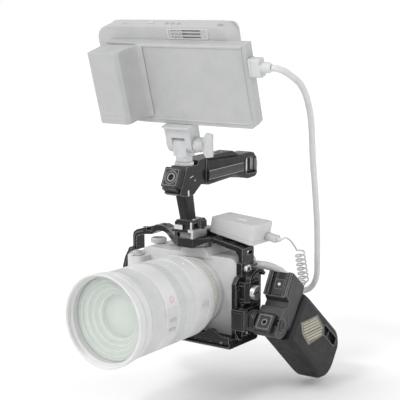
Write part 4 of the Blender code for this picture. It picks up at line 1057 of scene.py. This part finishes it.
def grip_details():
    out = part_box("side_grip")[1].x / MM
    trim = ring_of("X", out - 0.3, out + 0.3, within_panel(1.10), within_panel(0.985))
    piece("panel_trim", trim, "side_handle", "trim_grey", SIDE, edge=0.12)
    inner = ring_of("X", out + 0.15, out + 0.32, within_panel(0.93), within_panel(0.87))
    piece("panel_inner_line", inner, "side_handle", "seam_khaki", SIDE)
    along_panel = (Vector(PANEL[1]) - Vector(PANEL[0])).normalized()
    across_panel = Vector((along_panel.y, -along_panel.x))
    pitch = 3.1
    bars = []
    for step in range(1, 9):
        width = across_panel * (1.6 if step == 4 else 1.0)
        ends = crossings(within_panel(0.84), Vector(PANEL[0]) + across_panel * pitch * step, along_panel)
        if len(ends) == 2:
            corners = [ends[0], ends[1], ends[1] + width, ends[0] + width]
            bars.append(skin([[(x, c.x, c.y) for c in corners] for x in (out + 0.1, out + 0.34)]))
    piece("panel_ruled_lines", bars, "side_handle", "seam_khaki", SIDE)
    slot = border("X", out - 0.4, out + 0.35, (26.9, -105.2), (38.1, -70.8), 2.8, 1.2, 2.0)
    piece("strap_slot_trim", slot, "side_handle", "trim_grey", SIDE, edge=0.15)
    pin = tube([Vector((out - 2.2, 28, -88)), Vector((out - 2.2, 37, -88))], 0.9, 16)
    piece("strap_slot_pin", pin, "side_handle", "trim_grey", SIDE)
    # The slot's floor in near-black: painted shade.
    floor = slab("X", out - 4.6, out - 4.2, (28.1, -103.9), (36.9, -72.1), 1.9)
    piece("strap_slot_floor", floor, "side_handle", "painted_hole_shade", SIDE)


# ---- stage

FLOOR_GAP = 6
FLOOR_THICK = 20
FLOOR_R = 12000

# Each light: its name, where it shines from, its power and how wide it is in degrees
LIGHTS = (
    ("key", (-57, -42, 71), 1.05, 45),
    ("glint", (-12, -70, 66), 0.8, 10),
    ("rim", (60, 60, 55), 0.5, 45),
    ("fill", (75, -55, 35), 0.45, 45),
)


def build_stage():
    world = bpy.data.worlds.new("studio")
    bpy.context.scene.world = world
    world.use_nodes = True
    tree = world.node_tree
    coords = add(tree, "ShaderNodeTexCoord").outputs["Generated"]
    split = add(tree, "ShaderNodeSeparateXYZ")
    tree.links.new(coords, split.inputs[0])
    rise = ranged(tree, split.outputs["Z"], 0.0, 1.0, 0.25, 0.8)
    sky = mixed(tree, rise, (1.0, 1.0, 1.0), (0.55, 0.55, 0.55))
    background = tree.nodes["Background"]
    tree.links.new(sky, background.inputs["Color"])
    background.inputs["Strength"].default_value = 1.0

    floor_z = cad_low.z / MM - FLOOR_GAP
    points, faces = prism("Z", floor_z - FLOOR_THICK, floor_z, arc((0, 0), FLOOR_R, 0, 360, 64)[:-1])
    mesh = bpy.data.meshes.new("floor")
    mesh.from_pydata([tuple(Vector(p) * MM) for p in points], [], faces)
    floor = put("floor", mesh)
    pale = finish("floor", (0.91, 0.91, 0.91), (0.93, 0.93, 0.93), 0.8, patch=400.0, bump=0.0)
    mesh.materials.append(pale)

    for name, place, power, spread in LIGHTS:
        light = bpy.data.lights.new(name, "SUN")
        light.angle = math.radians(spread)
        light.energy = power
        put(name, light).rotation_euler = Vector(place).to_track_quat("Z", "Y").to_euler()


CAMERA_AZIMUTH, CAMERA_ELEVATION = 35.0, 9.4
CAMERA_AIM = (-9.0, 1.3, 137.3)
CAMERA_DISTANCE = 1170
CAMERA_LENS = 104.0


def build_camera():
    camera = bpy.data.cameras.new("camera")
    camera.lens = CAMERA_LENS
    camera.sensor_width = 36
    camera.clip_start = 0.01
    obj = put("camera", camera)
    a, e = math.radians(CAMERA_AZIMUTH), math.radians(CAMERA_ELEVATION)
    back = Vector((math.sin(a) * math.cos(e), -math.cos(a) * math.cos(e), math.sin(e)))
    obj.location = (Vector(CAMERA_AIM) + back * CAMERA_DISTANCE) * MM
    obj.rotation_euler = (-back).to_track_quat("-Z", "Y").to_euler()
    bpy.context.scene.camera = obj
    bpy.context.scene.view_settings.view_transform = "Standard"


dress_nodes()
for build in (
    lens_barrels, lens_flange, lens_glass, lens_marks, camera_details, monitor_details,
    mount_details, receiver_details, video_cable, plug_details, top_handle_details, nose_details,
    top_clamp_details, cage_details, cable_clamp_details, side_clamp_details, side_head_details,
    cold_shoe_details, grip_details, build_stage, build_camera,
):
    build()
